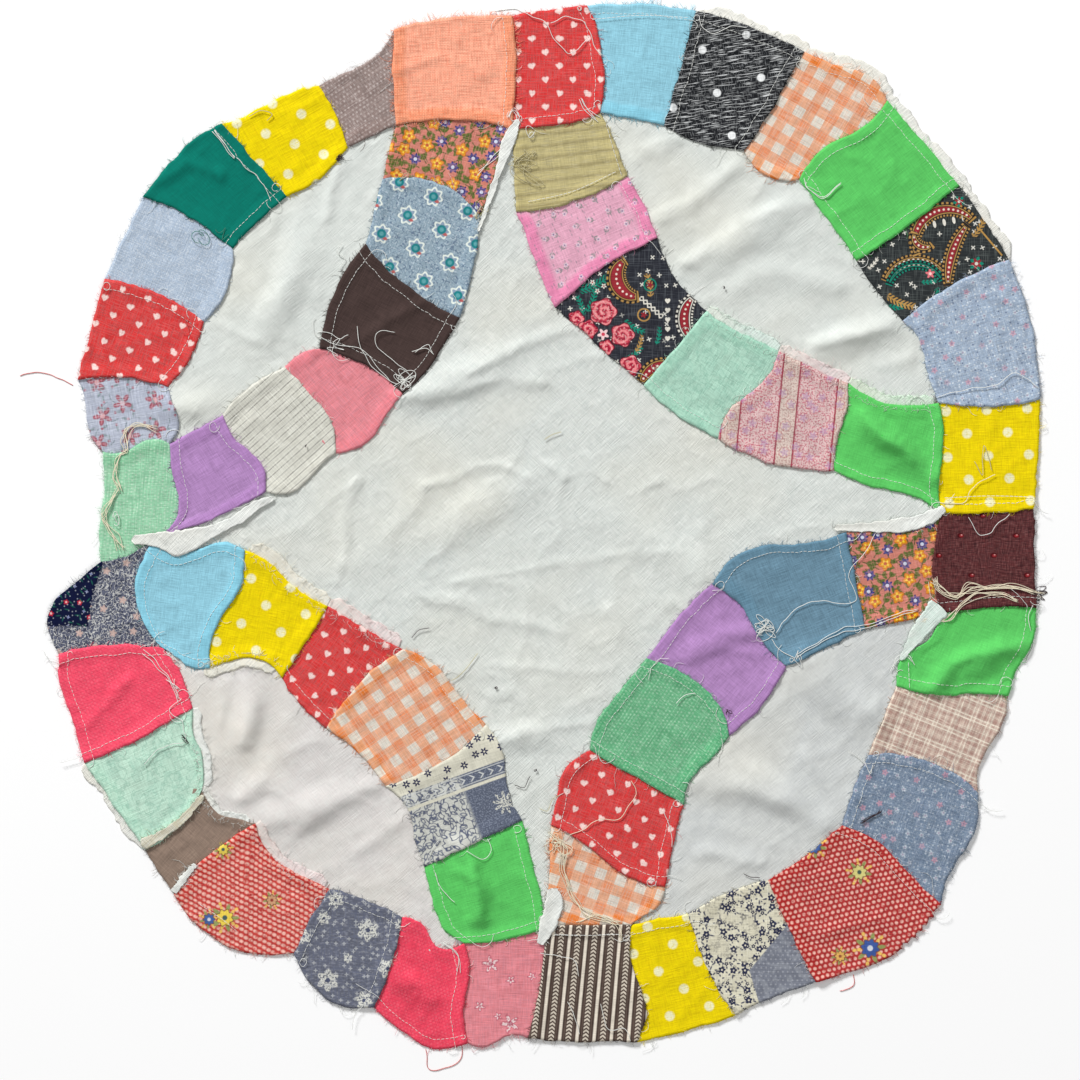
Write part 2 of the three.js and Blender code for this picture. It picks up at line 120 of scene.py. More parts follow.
INNER_SEAMS = {
    # melon end, centre end, seam bend, melon side bend, centre side bend
    "ne": [
        (None, None, None, (1, 0), (0, 0)),
        ((41.7, 176), (-14, 158), (4, 0), (1, 0), (0, 0)),
        ((56.7, 145), (5.5, 110), (-3, 0), (-4, 0), (0, 0)),
        ((81.3, 108.5), (49.7, 71.5), (0, 0), (-1.5, 0), (-2.5, 0)),
        ((117.2, 88.5), (87, 44.6), (-0.5, 3), (-1, 0), (-5, 0)),
        ((152, 72.5), (145, 28.5), (0, 1), (-5.5, 0), (1, -1.5)),
    ],
    "se": [
        (None, None, None, (0, 0), (5, 2)),
        ((160.5, -50.5), (151, -2), (0, 0), (0, 0), (-7, 4)),
        ((121, -69), (84, -28), (-1.5, 2), (3, 0), (-1.5, 0)),
        ((92.5, -104), (51.3, -65), (-9, -1), (-3, 2), (-4, 1.5)),
        ((70, -138.5), (23, -111), (0, 0), (-1, 0), (-6, -1.5)),
        ((60.5, -179.3), (3.5, -148.5), (3, 2), (3, 1), (0, 0)),
    ],
    "sw": [
        (None, None, None, (5, 1.5), (-1, 0)),
        ((-59.7, -169.3), (-11, -146), (0, 0), (-4, 2), (-1, 2)),
        ((-79.3, -128.8), (-29, -98), (-5, 0), (-2, 0), (-4, 2)),
        ((-108.7, -100.2), (-70.5, -60.5), (4, 0), (2, 0), (1, 0)),
        ((-130.8, -75), (-108, -39), (0, 0), (-8, -1), (0, 2)),
        ((-167, -70), (-149.5, -11), (0, 3), (2.6, 1), (2, -4)),
    ],
    "nw": [
        (None, None, None, (-0.5, 0), (-2, 0)),
        ((-160.5, 56.5), (-139, 18), (2.5, -3), (3, 0), (-5, -2.5)),
        ((-129.5, 80.5), (-104, 37), (5.5, -1.5), (1.5, 0), (-5, -2)),
        ((-112, 89.5), (-70.5, 67), (3.5, 0), (5, 0), (-2.5, 0)),
        ((-89, 142), (-42, 105), (-4, 0), (0, 0), (-2, 0)),
        ((-80.5, 174.5), (-32, 156), (8, 0), (0, 0), (0, 0)),
    ],
}

HEM = 6.0  # how far a remnant reaches under the rim
RIM_STATIONS = 40  # on one piece's rim, about a millimetre apart
DEEP_INSIDE = 20  # so far from a seam, cloth doesn't pucker
STRIP_HEM = 2.5  # how far a strip of muslin reaches back over its seam
ARC_LENGTH = 250  # roughly, of one inner or outer arc
REMNANTS = [
    # quarter, from and to which seam, width
    ("ne", 2, 6, 4.4),
    ("sw", 21, 22, 3.5),
]
FIRST_SEAM = {"ne": 1, "se": 9, "sw": 17, "nw": 25}
WEDGES = 6  # pieces in an arc
PINKED_RIM = 12  # this stretch of the rim was cut with pinking shears

# The cut pieces, clockwise. Sides that lie over the neighbour are n (near the centre or melon),
# f (far), l (anticlockwise) and r (clockwise). A capital letter is a side whose stitches show.
OUTER_PIECES = {
    # piece, print, sides on top
    "ne": [
        ("light_blue", "light_blue", "nF"),
        ("black_dotted", "black_dots", "nLRF"),
        ("gingham", "gingham", "nF"),
        ("bright_green", "bright_green", "NLRF"),
        ("paisley", "paisley", "nf"),
        ("blue_floral", "blue_floral", "nlrf"),
    ],
    "se": [
        ("bright_green", "bright_green", "nRF"),
        ("plaid", "plaid", "nf"),
        ("blue_floral", "blue_floral_deep", "NLf"),
        ("red_dotted", "red_lattice_se", "nLrf"),
        ("cream_floral", "cream_navy", "nrf"),
        ("yellow_dotted", "yellow_dots", "Nf"),
    ],
    "sw": [
        ("hot_pink", "hot_pink", "nLF"),
        ("navy_grey", "navy_grey", "NLRf"),
        ("red_dotted", "red_lattice_sw", "nrf"),
        ("brown", "brown", "nf"),
        ("mint", "mint_light", "nlf"),
        ("crimson", "crimson", "NLRF"),
    ],
    "nw": [
        ("pale_blue", "pale_blue", "nf"),
        ("red_hearts", "red_hearts", "NlRf"),
        ("grey_blue", "grey_blue", "nf"),
        ("teal", "teal", "NlRf"),
        ("yellow_dotted", "yellow_dots", "nrf"),
        ("grey_brown", "grey_brown", "nf"),
    ],
}
INNER_PIECES = {
    "ne": [
        ("khaki", "khaki", "nrf"),
        ("pink_floral", "pink_floral", "Nrf"),
        ("rose_paisley", "rose_paisley", "nf"),
        ("mint", "mint", "nlF"),
        ("pink_stripe", "pink_stripe", "nlrf"),
        ("bright_green", "bright_green", "nRF"),
    ],
    "se": [
        ("salmon_floral", "salmon_floral", "nf"),
        ("slate", "slate", "nLrF"),
        ("purple", "purple", "NF"),
        ("green_dotted", "green_dots_dark", "nLRF"),
        ("red_hearts", "red_hearts", "NRF"),
        ("gingham", "gingham", "nrf"),
    ],
    "sw": [
        ("bright_green", "bright_green", "NLF"),
        ("navy_print", "navy_print", "nlrf"),
        ("gingham", "gingham", "nrF"),
        ("red_hearts", "red_hearts", "Nf"),
        ("yellow_dotted", "yellow_dots", "nlf"),
        ("light_blue", "light_blue", "NLRF"),
    ],
    "nw": [
        ("purple", "purple", "nLRf"),
        ("ticking", "ticking", "nrf"),
        ("rose", "rose", "nf"),
        ("dark_brown", "dark_brown", "NLRF"),
        ("ring_floral", "ring_floral", "nrf"),
        ("salmon_floral", "salmon_floral", "nf"),
    ],
}
END_PIECES = [
    # piece, CAD node, print, sides on top, first ring seam
    ("red_hearts_north", "square_north_east", "red_hearts", "NRf", 0),
    ("yellow_dotted_east", "square_east_north", "yellow_dots", "Rf", 7),
    ("maroon_east", "square_east_south", "maroon", "nRf", 8),
    ("brown_stripe_south", "square_south_east", "brown_stripe", "Nlrf", 15),
    ("rose_south", "square_south_west", "rose_sprigs", "f", 16),
    ("navy_floral_west", "square_west_south", "navy_floral", "rf", 23),
    ("green_dotted_west", "square_west_north", "green_dots", "rf", 24),
    ("peach_north", "square_north_west", "peach", "nlRf", 31),
]
GRAIN = {
    # piece: the angle of the print's grain, and the x and y of one of its motifs
    "yellow_dotted_east": (2, 222, 36),
    "yellow_dotted_outer_se": (14, 57.3, -221.6),
    "yellow_dotted_inner_sw": (-12.4, -138.9, -38.7),
    "yellow_dotted_outer_nw": (29, -139, 197),
    "red_hearts_north": (0, 7.7, 230.4),
    "red_hearts_inner_se": (-20, 32.9, -132.7),
    "red_hearts_inner_sw": (-36, -98.9, -61.9),
    "red_hearts_outer_nw": (-20, -193.8, 105.2),
    "black_dotted_outer_ne": (19, 86.5, 217.5),
    "gingham_outer_ne": (-30, 122.2, 198.8),
    "gingham_inner_se": (-20, 24.7, -182.7),
    "gingham_inner_sw": (34, -76.9, -92.7),
    "plaid_outer_se": (-22, 203, -101),
    "khaki_inner_ne": (7, 18, 179),
    "ticking_inner_nw": (42, -127, 42),
    "pink_stripe_inner_ne": (-5.5, 117.3, 58),
    "maroon_east": (0, 224.7, -13.7),
    "brown_stripe_south": (-5.4, 21.3, -203.3),
    "ring_floral_inner_nw": (-23, -55.2, 165.6),
    "navy_print_inner_sw": (20, -35, -124.5),
    "red_dotted_outer_se": (0, 160, -190),
    "red_dotted_outer_sw": (0, -150, -180),
    "cream_floral_outer_se": (0, 105, -205),
    "rose_paisley_inner_ne": (0, 39, 103),
    "paisley_outer_ne": (0, 186, 142),
    "navy_grey_outer_sw": (0, -98, -208),
    "rose_south": (0, -24, -232),
}
FOLDED_RISE = 0.5  # how much higher a corner lies where it is folded back
# The line along which a corner of navy_floral_west is folded back
FOLDED_CORNER = [(-227.8, -50), (-227.4, -46), (-224.6, -30.6), (-220.5, -18)]
FRINGED = {
    # piece: how much denser and longer its loose threads are
    "peach_north": 1.7,
    "light_blue_outer_ne": 1.5,
    "gingham_outer_ne": 1.6,
    "gingham_inner_se": 1.5,
    "gingham_inner_sw": 1.4,
    "rose_south": 1.3,
}

# Soft folds, as in the solids' source, and finer creases that only this model has.
FOLDS = [
    # x, y, turn, length, width, height
    (-42, 75, 22, 90, 26, 2.4),
    (-30, 8, 28, 110, 30, 1.6),
    (60, -12, -35, 100, 30, 1.5),
    (-12, -106, 4, 60, 22, 1.8),
    (100, 145, 35, 90, 26, 2.6),
    (155, 95, 20, 80, 24, 2.4),
    (108, -128, -20, 80, 26, 2.6),
    (140, -82, -45, 80, 24, 2.8),
    (-120, -140, 15, 90, 26, 2.6),
    (-150, -95, 75, 60, 22, 2.2),
    (-130, 120, 65, 90, 26, 2.4),
    (-178, 62, 5, 50, 22, 2),
    (215, -68, 25, 60, 20, 2.6),
    (172, 42, -38, 60, 22, 2.4),
    (-34, -180, -80, 60, 18, 2),
    (85, -58, 22, 60, 16, 1.8),
    (-70, -228, -45, 50, 18, 1.8),
]
CREASES = [
    # width, height, then the places along its shaded side
    (11, 1.4, (-71, 61), (-47, 63), (-21, 71), (-1, 69)),
    (7, 0.9, (-37, 75), (-21, 83), (-7, 91), (13, 97)),
    (6, 0.9, (-59, 19), (-45, 23), (-35, 29), (-21, 30), (-9, 23)),
    (5, 0.9, (-5, 35), (9, 24)),
    (5, 0.9, (21, 35), (31, 21)),
    (6, 0.9, (-45, -29), (-21, -25), (-1, -21), (21, -19), (35, -16), (60, -14)),
    (14, 0.8, (-95, -25), (-83, -15), (-73, -3), (-61, 13)),
    (6, 0.9, (-93, 21), (-100, 9), (-98, -11), (-103, -29)),
    (8, 0.8, (-61, -37), (-37, -41), (-27, -49), (-11, -50), (7, -55)),
    (8, 1.0, (33, -45), (45, -67)),
    (6, 0.7, (-27, -71), (-3, -72), (13, -75), (33, -73)),
    (5, 1.1, (-21, -108), (-3, -102), (23, -99)),
    (6, 0.6, (-27, -86), (-16, -84), (-7, -92)),
    (12, 0.7, (82, 6), (78, -10), (80, -28)),
    (6, 0.6, (50, 18), (58, 21)),
    (9, 1.0, (46, 181), (65, 191)),
    (10, 1.5, (57, 151), (73, 159), (86, 169), (96, 177)),
    (9, 1.5, (71, 129), (86, 138), (100, 149), (115, 156), (132, 159)),
    (15, 1.3, (94, 112), (105, 122), (125, 120), (146, 116)),
    (8, 1.5, (136, 89), (153, 93), (173, 98)),
    (7, 0.9, (167, 77), (184, 83)),
    (8, 1.0, (-152, 124), (-144, 112), (-136, 91)),
    (6, 0.7, (-132, 112), (-125, 91)),
    (11, 0.9, (-123, 149), (-117, 131), (-115, 112)),
    (7, 0.8, (-109, 153), (-107, 164), (-102, 179)),
    (5, 0.6, (-165, 101), (-138, 89)),
    (8, 1.0, (-149, -73), (-145, -90), (-149, -110)),
    (8, 0.7, (-158, -81), (-161, -102), (-165, -121)),
    (13, 1.4, (-152, -140), (-139, -129), (-118, -142)),
    (9, 1.2, (-129, -161), (-114, -148), (-99, -138), (-83, -129)),
    (9, 0.9, (-93, -165), (-70, -148)),
    (9, 0.6, (-137, -121), (-114, -108)),
    (13, 2.1, (130, -67), (147, -82), (168, -101)),
    (15, 2.3, (76, -132), (99, -136), (120, -144), (141, -153)),
    (10, 1.4, (80, -165), (108, -171)),
    (7, 0.8, (91, -113), (112, -128)),
    (7, 0.8, (130, -115), (145, -140)),
    (10, 4.0, (159, 53), (170, 41), (181, 34), (194, 22)),
    (10, 4.0, (194, -84), (203, -71), (217, -66), (238, -63)),
    (10, 3.1, (-42, -160), (-37, -172), (-34, -186), (-33, -198)),
    (4, 0.8, (182, -82), (180, -97), (175, -113)),
    (7, 0.7, (64, -40), (82, -52), (104, -56)),
    (6, 0.8, (74, -68), (90, -62), (108, -66)),
    (6, 0.9, (-74, 226), (-50, 234), (-30, 224)),
    (7, 1.1, (-192, 170), (-178, 180), (-162, 174)),
    (8, 1.2, (-60, 110), (-76, 102), (-94, 90)),
    (7, 1.1, (-22, -190), (-32, -178), (-44, -174)),
    (8, 1.1, (-56, -238), (-64, -228), (-74, -232)),
    (6, 1.0, (-208, -78), (-218, -90), (-228, -100)),
    (7, 1.0, (178, -156), (188, -164), (202, -166)),
    (7, 0.8, (110, -200), (138, -206), (166, -198)),
    (7, 1.0, (148, 184), (164, 180), (180, 170)),
]

# ---------------------------------------------------------------------------------------------
# Shapes in plan


def noise(x, y, size, seed):
    """Smooth noise between -1 and 1, with bumps about size across."""
    x = np.asarray(x, float) / size
    y = np.asarray(y, float) / size
    left = np.floor(x)
    low = np.floor(y)
    across = (x - left) ** 2 * (3 - 2 * (x - left))
    up = (y - low) ** 2 * (3 - 2 * (y - low))

    def corner(i, j):
        value = np.sin((left + i) * 127.1 + (low + j) * 311.7 + seed * 74.7) * 43758.5453
        return (value - np.floor(value)) * 2 - 1

    bottom = corner(0, 0) * (1 - across) + corner(1, 0) * across
    top = corner(0, 1) * (1 - across) + corner(1, 1) * across
    return bottom * (1 - up) + top * up


def unit(vectors):
    return vectors / np.maximum(np.linalg.norm(vectors, axis=-1, keepdims=True), 1e-9)


def left_of(way):
    """The direction to the left of a direction in plan."""
    return np.stack([-way[..., 1], way[..., 0]], -1)


def path_length(places):
    return float(np.sum(np.linalg.norm(np.diff(places, axis=0), axis=1)))


def smooth(low, high, value):
    """0 below low, 1 above high, and smooth between."""
    share = np.clip((value - low) / (high - low), 0, 1)
    return share * share * (3 - 2 * share)


def edge(start, end, bend, seed):
    """A cut edge or seam: a line with a bow and a sway, which wanders a little."""
    start = np.array(start, float)
    along = np.array(end, float) - start
    length = np.hypot(*along)
    left = np.array([-along[1], along[0]]) / length

    def at(t):
        t = np.asarray(t, float)
        push = bend[0] * 4 * t * (1 - t) + bend[1] * np.sin(2 * np.pi * t)
        ends = np.clip(np.minimum(t, 1 - t) * 8, 0, 1)
        place = t * length
        push = push + ends * (0.55 * noise(place, 0, 9, seed) + 0.35 * noise(place, 3, 3, seed))
        return start + along * t[..., None] + left * push[..., None]

    return at


def reverse(line):
    return lambda t: line(1 - np.asarray(t, float))


def chain(lines):
    """Several lines end to end, as one."""

    def at(t):
        place = np.asarray(t, float) * len(lines)
        index = np.clip(np.floor(place).astype(int), 0, len(lines) - 1)
        result = np.zeros(place.shape + (2,))
        for number, line in enumerate(lines):
            result = np.where((index == number)[..., None], line(place - number), result)
        return result

    return at


class Cell:
    """The place in the ring where one cut piece shows, between four edges."""

    def __init__(self, near, far, left, right):
        self.near = near
        self.far = far
        self.left = left
        self.right = right

    def at(self, u, v):
        u, v = np.broadcast_arrays(np.asarray(u, float), np.asarray(v, float))
        across = u[..., None]
        along = v[..., None]
        ruled = (1 - along) * self.near(u) + along * self.far(u)
        ruled = ruled + (1 - across) * self.left(v) + across * self.right(v)
        zero = np.zeros_like(u)
        one = np.ones_like(u)
        start = (1 - across) * ((1 - along) * self.near(zero) + along * self.far(zero))
        end = across * ((1 - along) * self.near(one) + along * self.far(one))
        return ruled - start - end

    def width(self, v):
        return np.linalg.norm(self.right(v) - self.left(v), axis=-1)

    def depth(self, u):
        return np.linalg.norm(self.far(u) - self.near(u), axis=-1)

    def inside(self, side, u, v):
        """How far a place is inside one side, or less than nothing beyond it."""
        if side == "l":
            return u * self.width(np.clip(v, 0, 1))
        if side == "r":
            return (1 - u) * self.width(np.clip(v, 0, 1))
        if side == "n":
            return v * self.depth(np.clip(u, 0, 1))
        return (1 - v) * self.depth(np.clip(u, 0, 1))


def ring_row(index):
    """A row of the ring's table, which closes on itself."""
    return RING_SEAMS[index % len(RING_SEAMS)]


def crossing(index):
    root, rim, bend = ring_row(index)[:3]
    return edge(root, rim, bend, seed=index)


def rim_edge(index):
    line = edge(ring_row(index)[1], ring_row(index + 1)[1], ring_row(index)[3], seed=index + 40)
    return pinked(line) if index == PINKED_RIM else line


def pinked(line):
    """The same line, cut in teeth along its first third."""

    def at(t):
        t = np.asarray(t, float)
        tooth = np.abs((t * 17) % 1 - 0.5) * 2
        inwards = -unit(line(t) - np.array(MIDDLE))
        return line(t) + inwards * (2.4 * tooth * smooth(0, 0.03, t) * smooth(0.4, 0.34, t))[..., None]

    return at


def root_edge(index):
    return edge(ring_row(index)[0], ring_row(index + 1)[0], ring_row(index)[4], seed=index + 80)


def outer_cell(index):
    return Cell(root_edge(index), rim_edge(index), crossing(index), crossing(index + 1))


def inner_lines(quarter):
    """The seams, melon side and centre side of an inner arc."""
    first = FIRST_SEAM[quarter]
    last = first + WEDGES
    rows = INNER_SEAMS[quarter]
    melon_points = [ring_row(first)[0]] + [row[0] for row in rows[1:]] + [ring_row(last)[0]]
    centre_points = [ring_row(first - 1)[0]] + [row[1] for row in rows[1:]] + [ring_row(last + 1)[0]]
    seams = [reverse(root_edge(first - 1))]
    for number, row in enumerate(rows[1:]):
        seams.append(edge(row[0], row[1], row[2], seed=first * 10 + number))
    seams.append(root_edge(last))
    melon_side = []
    centre_side = []
    for number, row in enumerate(rows):
        seed = first * 10 + number
        melon_side.append(edge(melon_points[number], melon_points[number + 1], row[3], seed=seed + 300))
        centre_side.append(edge(centre_points[number], centre_points[number + 1], row[4], seed=seed + 600))
    return seams, melon_side, centre_side


# ---------------------------------------------------------------------------------------------
# Heights


def lift(x, y):
    """How far the folds and creases lift the cloth."""
    height = np.zeros_like(x)
    for fold_x, fold_y, turn, length, width, rise in FOLDS:
        angle = math.radians(turn)
        along = (x - fold_x) * math.cos(angle) + (y - fold_y) * math.sin(angle)
        across = (y - fold_y) * math.cos(angle) - (x - fold_x) * math.sin(angle)
        across = across + 2.5 * noise(along, fold_x + 0 * along, 24, 5)
        reach = np.clip(np.abs(along) / (length / 2), 0, 1)
        spread = np.clip(np.abs(across) / (width / 2), 0, 1)
        height = height + rise * (0.5 + 0.5 * np.cos(np.pi * reach)) * (0.5 + 0.5 * np.cos(np.pi * spread))
    wander = 1.3 * noise(x, y, 12, 8) + 0.7 * noise(x, y, 4, 12)
    strength = 0.78 + 0.5 * noise(x, y, 15, 9)
    for width, rise, *places in CREASES:
        crest_y = y - 0.35 * width
        nearest = np.full_like(x, 1e9)
        for (from_x, from_y), (to_x, to_y) in zip(places[:-1], places[1:]):
            way_x = to_x - from_x
            way_y = to_y - from_y
            share = ((x - from_x) * way_x + (crest_y - from_y) * way_y) / (way_x**2 + way_y**2)
            share = np.clip(share, 0, 1)
            away = np.hypot(x - from_x - share * way_x, crest_y - from_y - share * way_y)
            nearest = np.minimum(nearest, away)
        ridge = np.exp(-(((nearest + wander) / (width * 0.42)) ** 2))
        height = height + rise * strength * ridge * (nearest < 3 * width)
    return height


def crumple(x, y):
    """The small unevenness of cloth that has been washed and handled."""
    turned_x = 0.87 * x + 0.5 * y + 6 * noise(x, y, 30, 4)
    turned_y = 0.87 * y - 0.5 * x + 6 * noise(x, y, 30, 6)
    broad = 0.4 * (noise(turned_x, turned_y, 34, 1) + 1)
    sharp = 0.42 * (1 - np.abs(noise(turned_x, turned_y, 26, 2))) ** 5
    fine = 0.22 * (1 - np.abs(noise(turned_x, turned_y, 11, 3))) ** 4
    crinkled = 0.1 * (1 - np.abs(noise(turned_y, turned_x, 5.5, 13))) ** 3
    return broad + sharp + fine + crinkled


def ground(x, y):
    return lift(x, y) + crumple(x, y)


def layer_heights(cell, u, v, x, y, over, lies_on_nothing):
    """Height of a piece's upper side. Its raw edges rise over its neighbours, and the rest tucks under."""
    band = np.zeros_like(x)
    tucked = np.zeros_like(x)
    curl = np.zeros_like(x)
    dent = np.zeros_like(x)
    for side in "nflr":
        inside = cell.inside(side, u, v)
        if side in over.lower():
            if side not in lies_on_nothing:
                band = np.maximum(band, 1 - smooth(ALLOWANCE - 0.6, ALLOWANCE + 1.6, inside))
            ragged = noise(x, y, 7, 21) + 0.4
            curl = np.maximum(curl, (1 - smooth(0, 2.4, inside)) * np.clip(ragged, 0, 1))
            dent = np.maximum(dent, np.exp(-(((inside - ALLOWANCE + 0.6) / 0.8) ** 2)))
        else:
            tucked = np.maximum(tucked, 1 - smooth(-0.6, 3.0, inside))
    raised = band * (BAND_RISE * (1 - tucked) + 0.3 * tucked)
    return REST + raised + (0.35 * curl - 0.2 * dent) * (1 - tucked), band * (1 - tucked)


# ---------------------------------------------------------------------------------------------
# Meshes


class Solid:
    """Points, faces and the cloth's own coordinates, gathered for one mesh."""

    def __init__(self):
        self.points = []
        self.cloth = []
        self.right_side = []
        self.quads = []
        self.triangles = []
        self.count = 0

    def add(self, points, quads, triangles, cloth, right_side):
        self.points.append(points)
        self.cloth.append(cloth)
        self.right_side.append(right_side)
        self.quads.append(quads + self.count)
        self.triangles.append(triangles + self.count)
        self.count += len(points)

    def build(self, name, material):
        points = (np.concatenate(self.points) - [MIDDLE[0], MIDDLE[1], 0]) * MM
        quads = np.concatenate(self.quads)
        triangles = np.concatenate(self.triangles)
        corners = np.concatenate([quads.ravel(), triangles.ravel()])
        starts = np.concatenate([np.arange(len(quads)) * 4, len(quads) * 4 + np.arange(len(triangles)) * 3])
        mesh = bpy.data.meshes.new(name)
        mesh.vertices.add(len(points))
        mesh.vertices.foreach_set("co", points.astype(np.float32).ravel())
        mesh.loops.add(len(corners))
        mesh.loops.foreach_set("vertex_index", corners.astype(np.int32))
        mesh.polygons.add(len(starts))
        mesh.polygons.foreach_set("loop_start", starts.astype(np.int32))
        mesh.update(calc_edges=True)
        cloth = mesh.attributes.new("cloth", "FLOAT_VECTOR", "POINT")
        cloth.data.foreach_set("vector", np.concatenate(self.cloth).astype(np.float32).ravel())
        right_side = mesh.attributes.new("right_side", "FLOAT", "POINT")
        right_side.data.foreach_set("value", np.concatenate(self.right_side).astype(np.float32))
        mesh.shade_smooth()
        mesh.materials.append(material)
        piece = bpy.data.objects.new(name, mesh)
        bpy.context.scene.collection.objects.link(piece)
        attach(piece, "root")
        return piece


NO_TRIANGLES = np.zeros((0, 3), int)


def add_cloth(solid, top, cloth, thickness=THICKNESS, folded=0.0):
    """Adds a grid of top points as a thin closed layer of cloth, and says what area it covers."""
    columns, rows = top.shape[:2]
    count = columns * rows
    bottom = top.copy()
    bottom[..., 2] -= thickness
    index = np.arange(count).reshape(columns, rows)
    upper = np.stack([index[:-1, :-1], index[1:, :-1], index[1:, 1:], index[:-1, 1:]], -1).reshape(-1, 4)
    lower = upper[:, ::-1] + count
    ring = np.concatenate([index[:-1, 0], index[-1, :-1], index[:0:-1, -1], index[0, :0:-1]])
    after = np.roll(ring, -1)
    wall = np.stack([ring + count, after + count, after, ring], -1)
    quads = np.concatenate([upper, lower, wall])
    diagonal = top[1:, 1:, :2] - top[:-1, :-1, :2]
    other = top[:-1, 1:, :2] - top[1:, :-1, :2]
    area = np.sum(diagonal[..., 0] * other[..., 1] - diagonal[..., 1] * other[..., 0]) / 2
    if area < 0:
        quads = quads[:, ::-1]
    points = np.concatenate([top.reshape(-1, 3), bottom.reshape(-1, 3)])
    both = np.concatenate([cloth.reshape(-1, 3), cloth.reshape(-1, 3)])
    side = np.concatenate([np.zeros(count) + np.ravel(folded), np.ones(count)])
    solid.add(points, quads, NO_TRIANGLES, both, side)
    return abs(area)


def add_threads(solid, paths, radius, cloth, sides):
    """Adds threads along paths that have equally many points each, closed at both ends."""
    number, count = paths.shape[:2]
    way = unit(np.gradient(paths, axis=1))
    across = unit(np.stack([-way[..., 1], way[..., 0], np.zeros((number, count))], -1))
    up = np.cross(way, across)
    taper = np.ones(count)
    taper[[0, -1]] = TAPER
    angles = np.arange(sides) * 2 * np.pi / sides
    spokes = across[:, :, None] * np.cos(angles)[:, None] + up[:, :, None] * np.sin(angles)[:, None]
    rings = paths[:, :, None] + radius * taper[:, None, None] * spokes
    points = np.concatenate([rings.reshape(number, -1, 3), paths[:, :1], paths[:, -1:]], axis=1)
    turn = np.arange(sides)
    after = (turn + 1) % sides
    ring = np.arange(count - 1)[:, None] * sides
    onward = ring + sides
    quads = np.stack([ring + turn, ring + after, onward + after, onward + turn], -1).reshape(-1, 4)
    last = (count - 1) * sides
    start_cap = np.stack([turn * 0 + count * sides, after, turn], -1)
    end_cap = np.stack([turn * 0 + count * sides + 1, last + turn, last + after], -1)
    triangles = np.concatenate([start_cap, end_cap])
    size = count * sides + 2
    shift = (np.arange(number) * size)[:, None, None]
    solid.add(
        points.reshape(-1, 3),
        (quads + shift).reshape(-1, 4),
        (triangles + shift).reshape(-1, 3),
        np.repeat(cloth, size, axis=0),
        np.zeros(number * size),
    )


# ---------------------------------------------------------------------------------------------
# Materials. A print is a formula on the cloth's own x and y, in millimetres.


def linear(colour):
    """A colour given as sRGB from 0 to 255, as the shaders take it."""
    parts = [c / 255 for c in colour]
    return [c / 12.92 if c <= 0.04045 else ((c + 0.055) / 1.055) ** 2.4 for c in parts] + [1.0]


def add_node(tree, kind, inputs, **settings):
    """Adds a shader node. Its inputs are fields or sockets to link, or plain values."""
    node = tree.nodes.new(f"ShaderNode{kind}")
    for title, value in settings.items():
        setattr(node, title, value)
    for place, value in inputs.items():
        if isinstance(value, Field):
            value = value.socket
        if isinstance(value, bpy.types.NodeSocket):
            tree.links.new(value, node.inputs[place])
        else:
            node.inputs[place].default_value = value
    return node


class Field:
    """A number that varies over the cloth, so that a print can be written as a formula."""

    def __init__(self, tree, socket):
        self.tree = tree
        self.socket = socket

    def math(self, operation, *others, clamp=False):
        inputs = dict(enumerate((self,) + others))
        node = add_node(self.tree, "Math", inputs, operation=operation, use_clamp=clamp)
        return Field(self.tree, node.outputs[0])

    def __add__(self, other):
        return self.math("ADD", other)

    def __sub__(self, other):
        return self.math("SUBTRACT", other)

    def __mul__(self, other):
        return self.math("MULTIPLY", other)

    def __neg__(self):
        return self.math("MULTIPLY", -1.0)

    def __rsub__(self, other):
        return (-self).math("ADD", other)

    __radd__ = __add__
    __rmul__ = __mul__

    def either(self, other):
        return self.math("MAXIMUM", other)

    def both(self, other):
        return self.math("MINIMUM", other)

    def size(self):
        return self.math("ABSOLUTE")

    def whole(self):
        return self.math("FLOOR")

    def repeat(self, period):
        """Runs from minus half a period to half a period, again and again."""
        return ((self * (1 / period) + 0.5).math("FRACT") - 0.5) * period

    def wave(self, period):
        return (self * (2 * math.pi / period)).math("SINE")

    def ink(self, soft=0.3):
        """Turns a distance inside a shape's edge into how much of its colour shows."""
        return (self * (1 / soft)).math("ADD", 0.5, clamp=True)

    def above(self, low, high):
        """0 below low, and 1 above high."""
        return ((self - low) * (1 / (high - low))).math("ADD", 0.0, clamp=True)


# Shapes, as the distance inside their edge.


def far_from(x, y):
    return (x * x + y * y).math("SQRT")


def disc(x, y, radius):
    return radius - far_from(x, y)


def stripe(across, half_width):
    return half_width - across.size()


def ring(x, y, radius, width):
    return stripe(far_from(x, y) - radius, width / 2)


def petals(x, y, radius, count, depth):
    """A flower: a disc whose edge waves in and out."""
    around = y.math("ARCTAN2", x) * count
    return around.math("COSINE") * (radius * depth) + radius * (1 - depth) - far_from(x, y)


def heart(x, y, half_width):
    side = x.size() * (1 / half_width)
    rise = y * (1.15 / half_width) - side.math("SQRT") * 0.75
    return (1 - far_from(side, rise)) * half_width


def oval(x, y, half_length, half_width):
    return (1 - far_from(x * (1 / half_length), y * (1 / half_width))) * half_width


def bar(x, y, half_length, half_width):
    return stripe(x, half_length).both(stripe(y, half_width))


def spin(x, y, turn):
    """The same place in axes turned by an angle in radians."""
    if isinstance(turn, Field):
        cosine = turn.math("COSINE")
        sine = turn.math("SINE")
    else:
        cosine = math.cos(turn)
        sine = math.sin(turn)
    return x * cosine + y * sine, y * cosine - x * sine


MATERIALS = {}  # every finished material, by its name


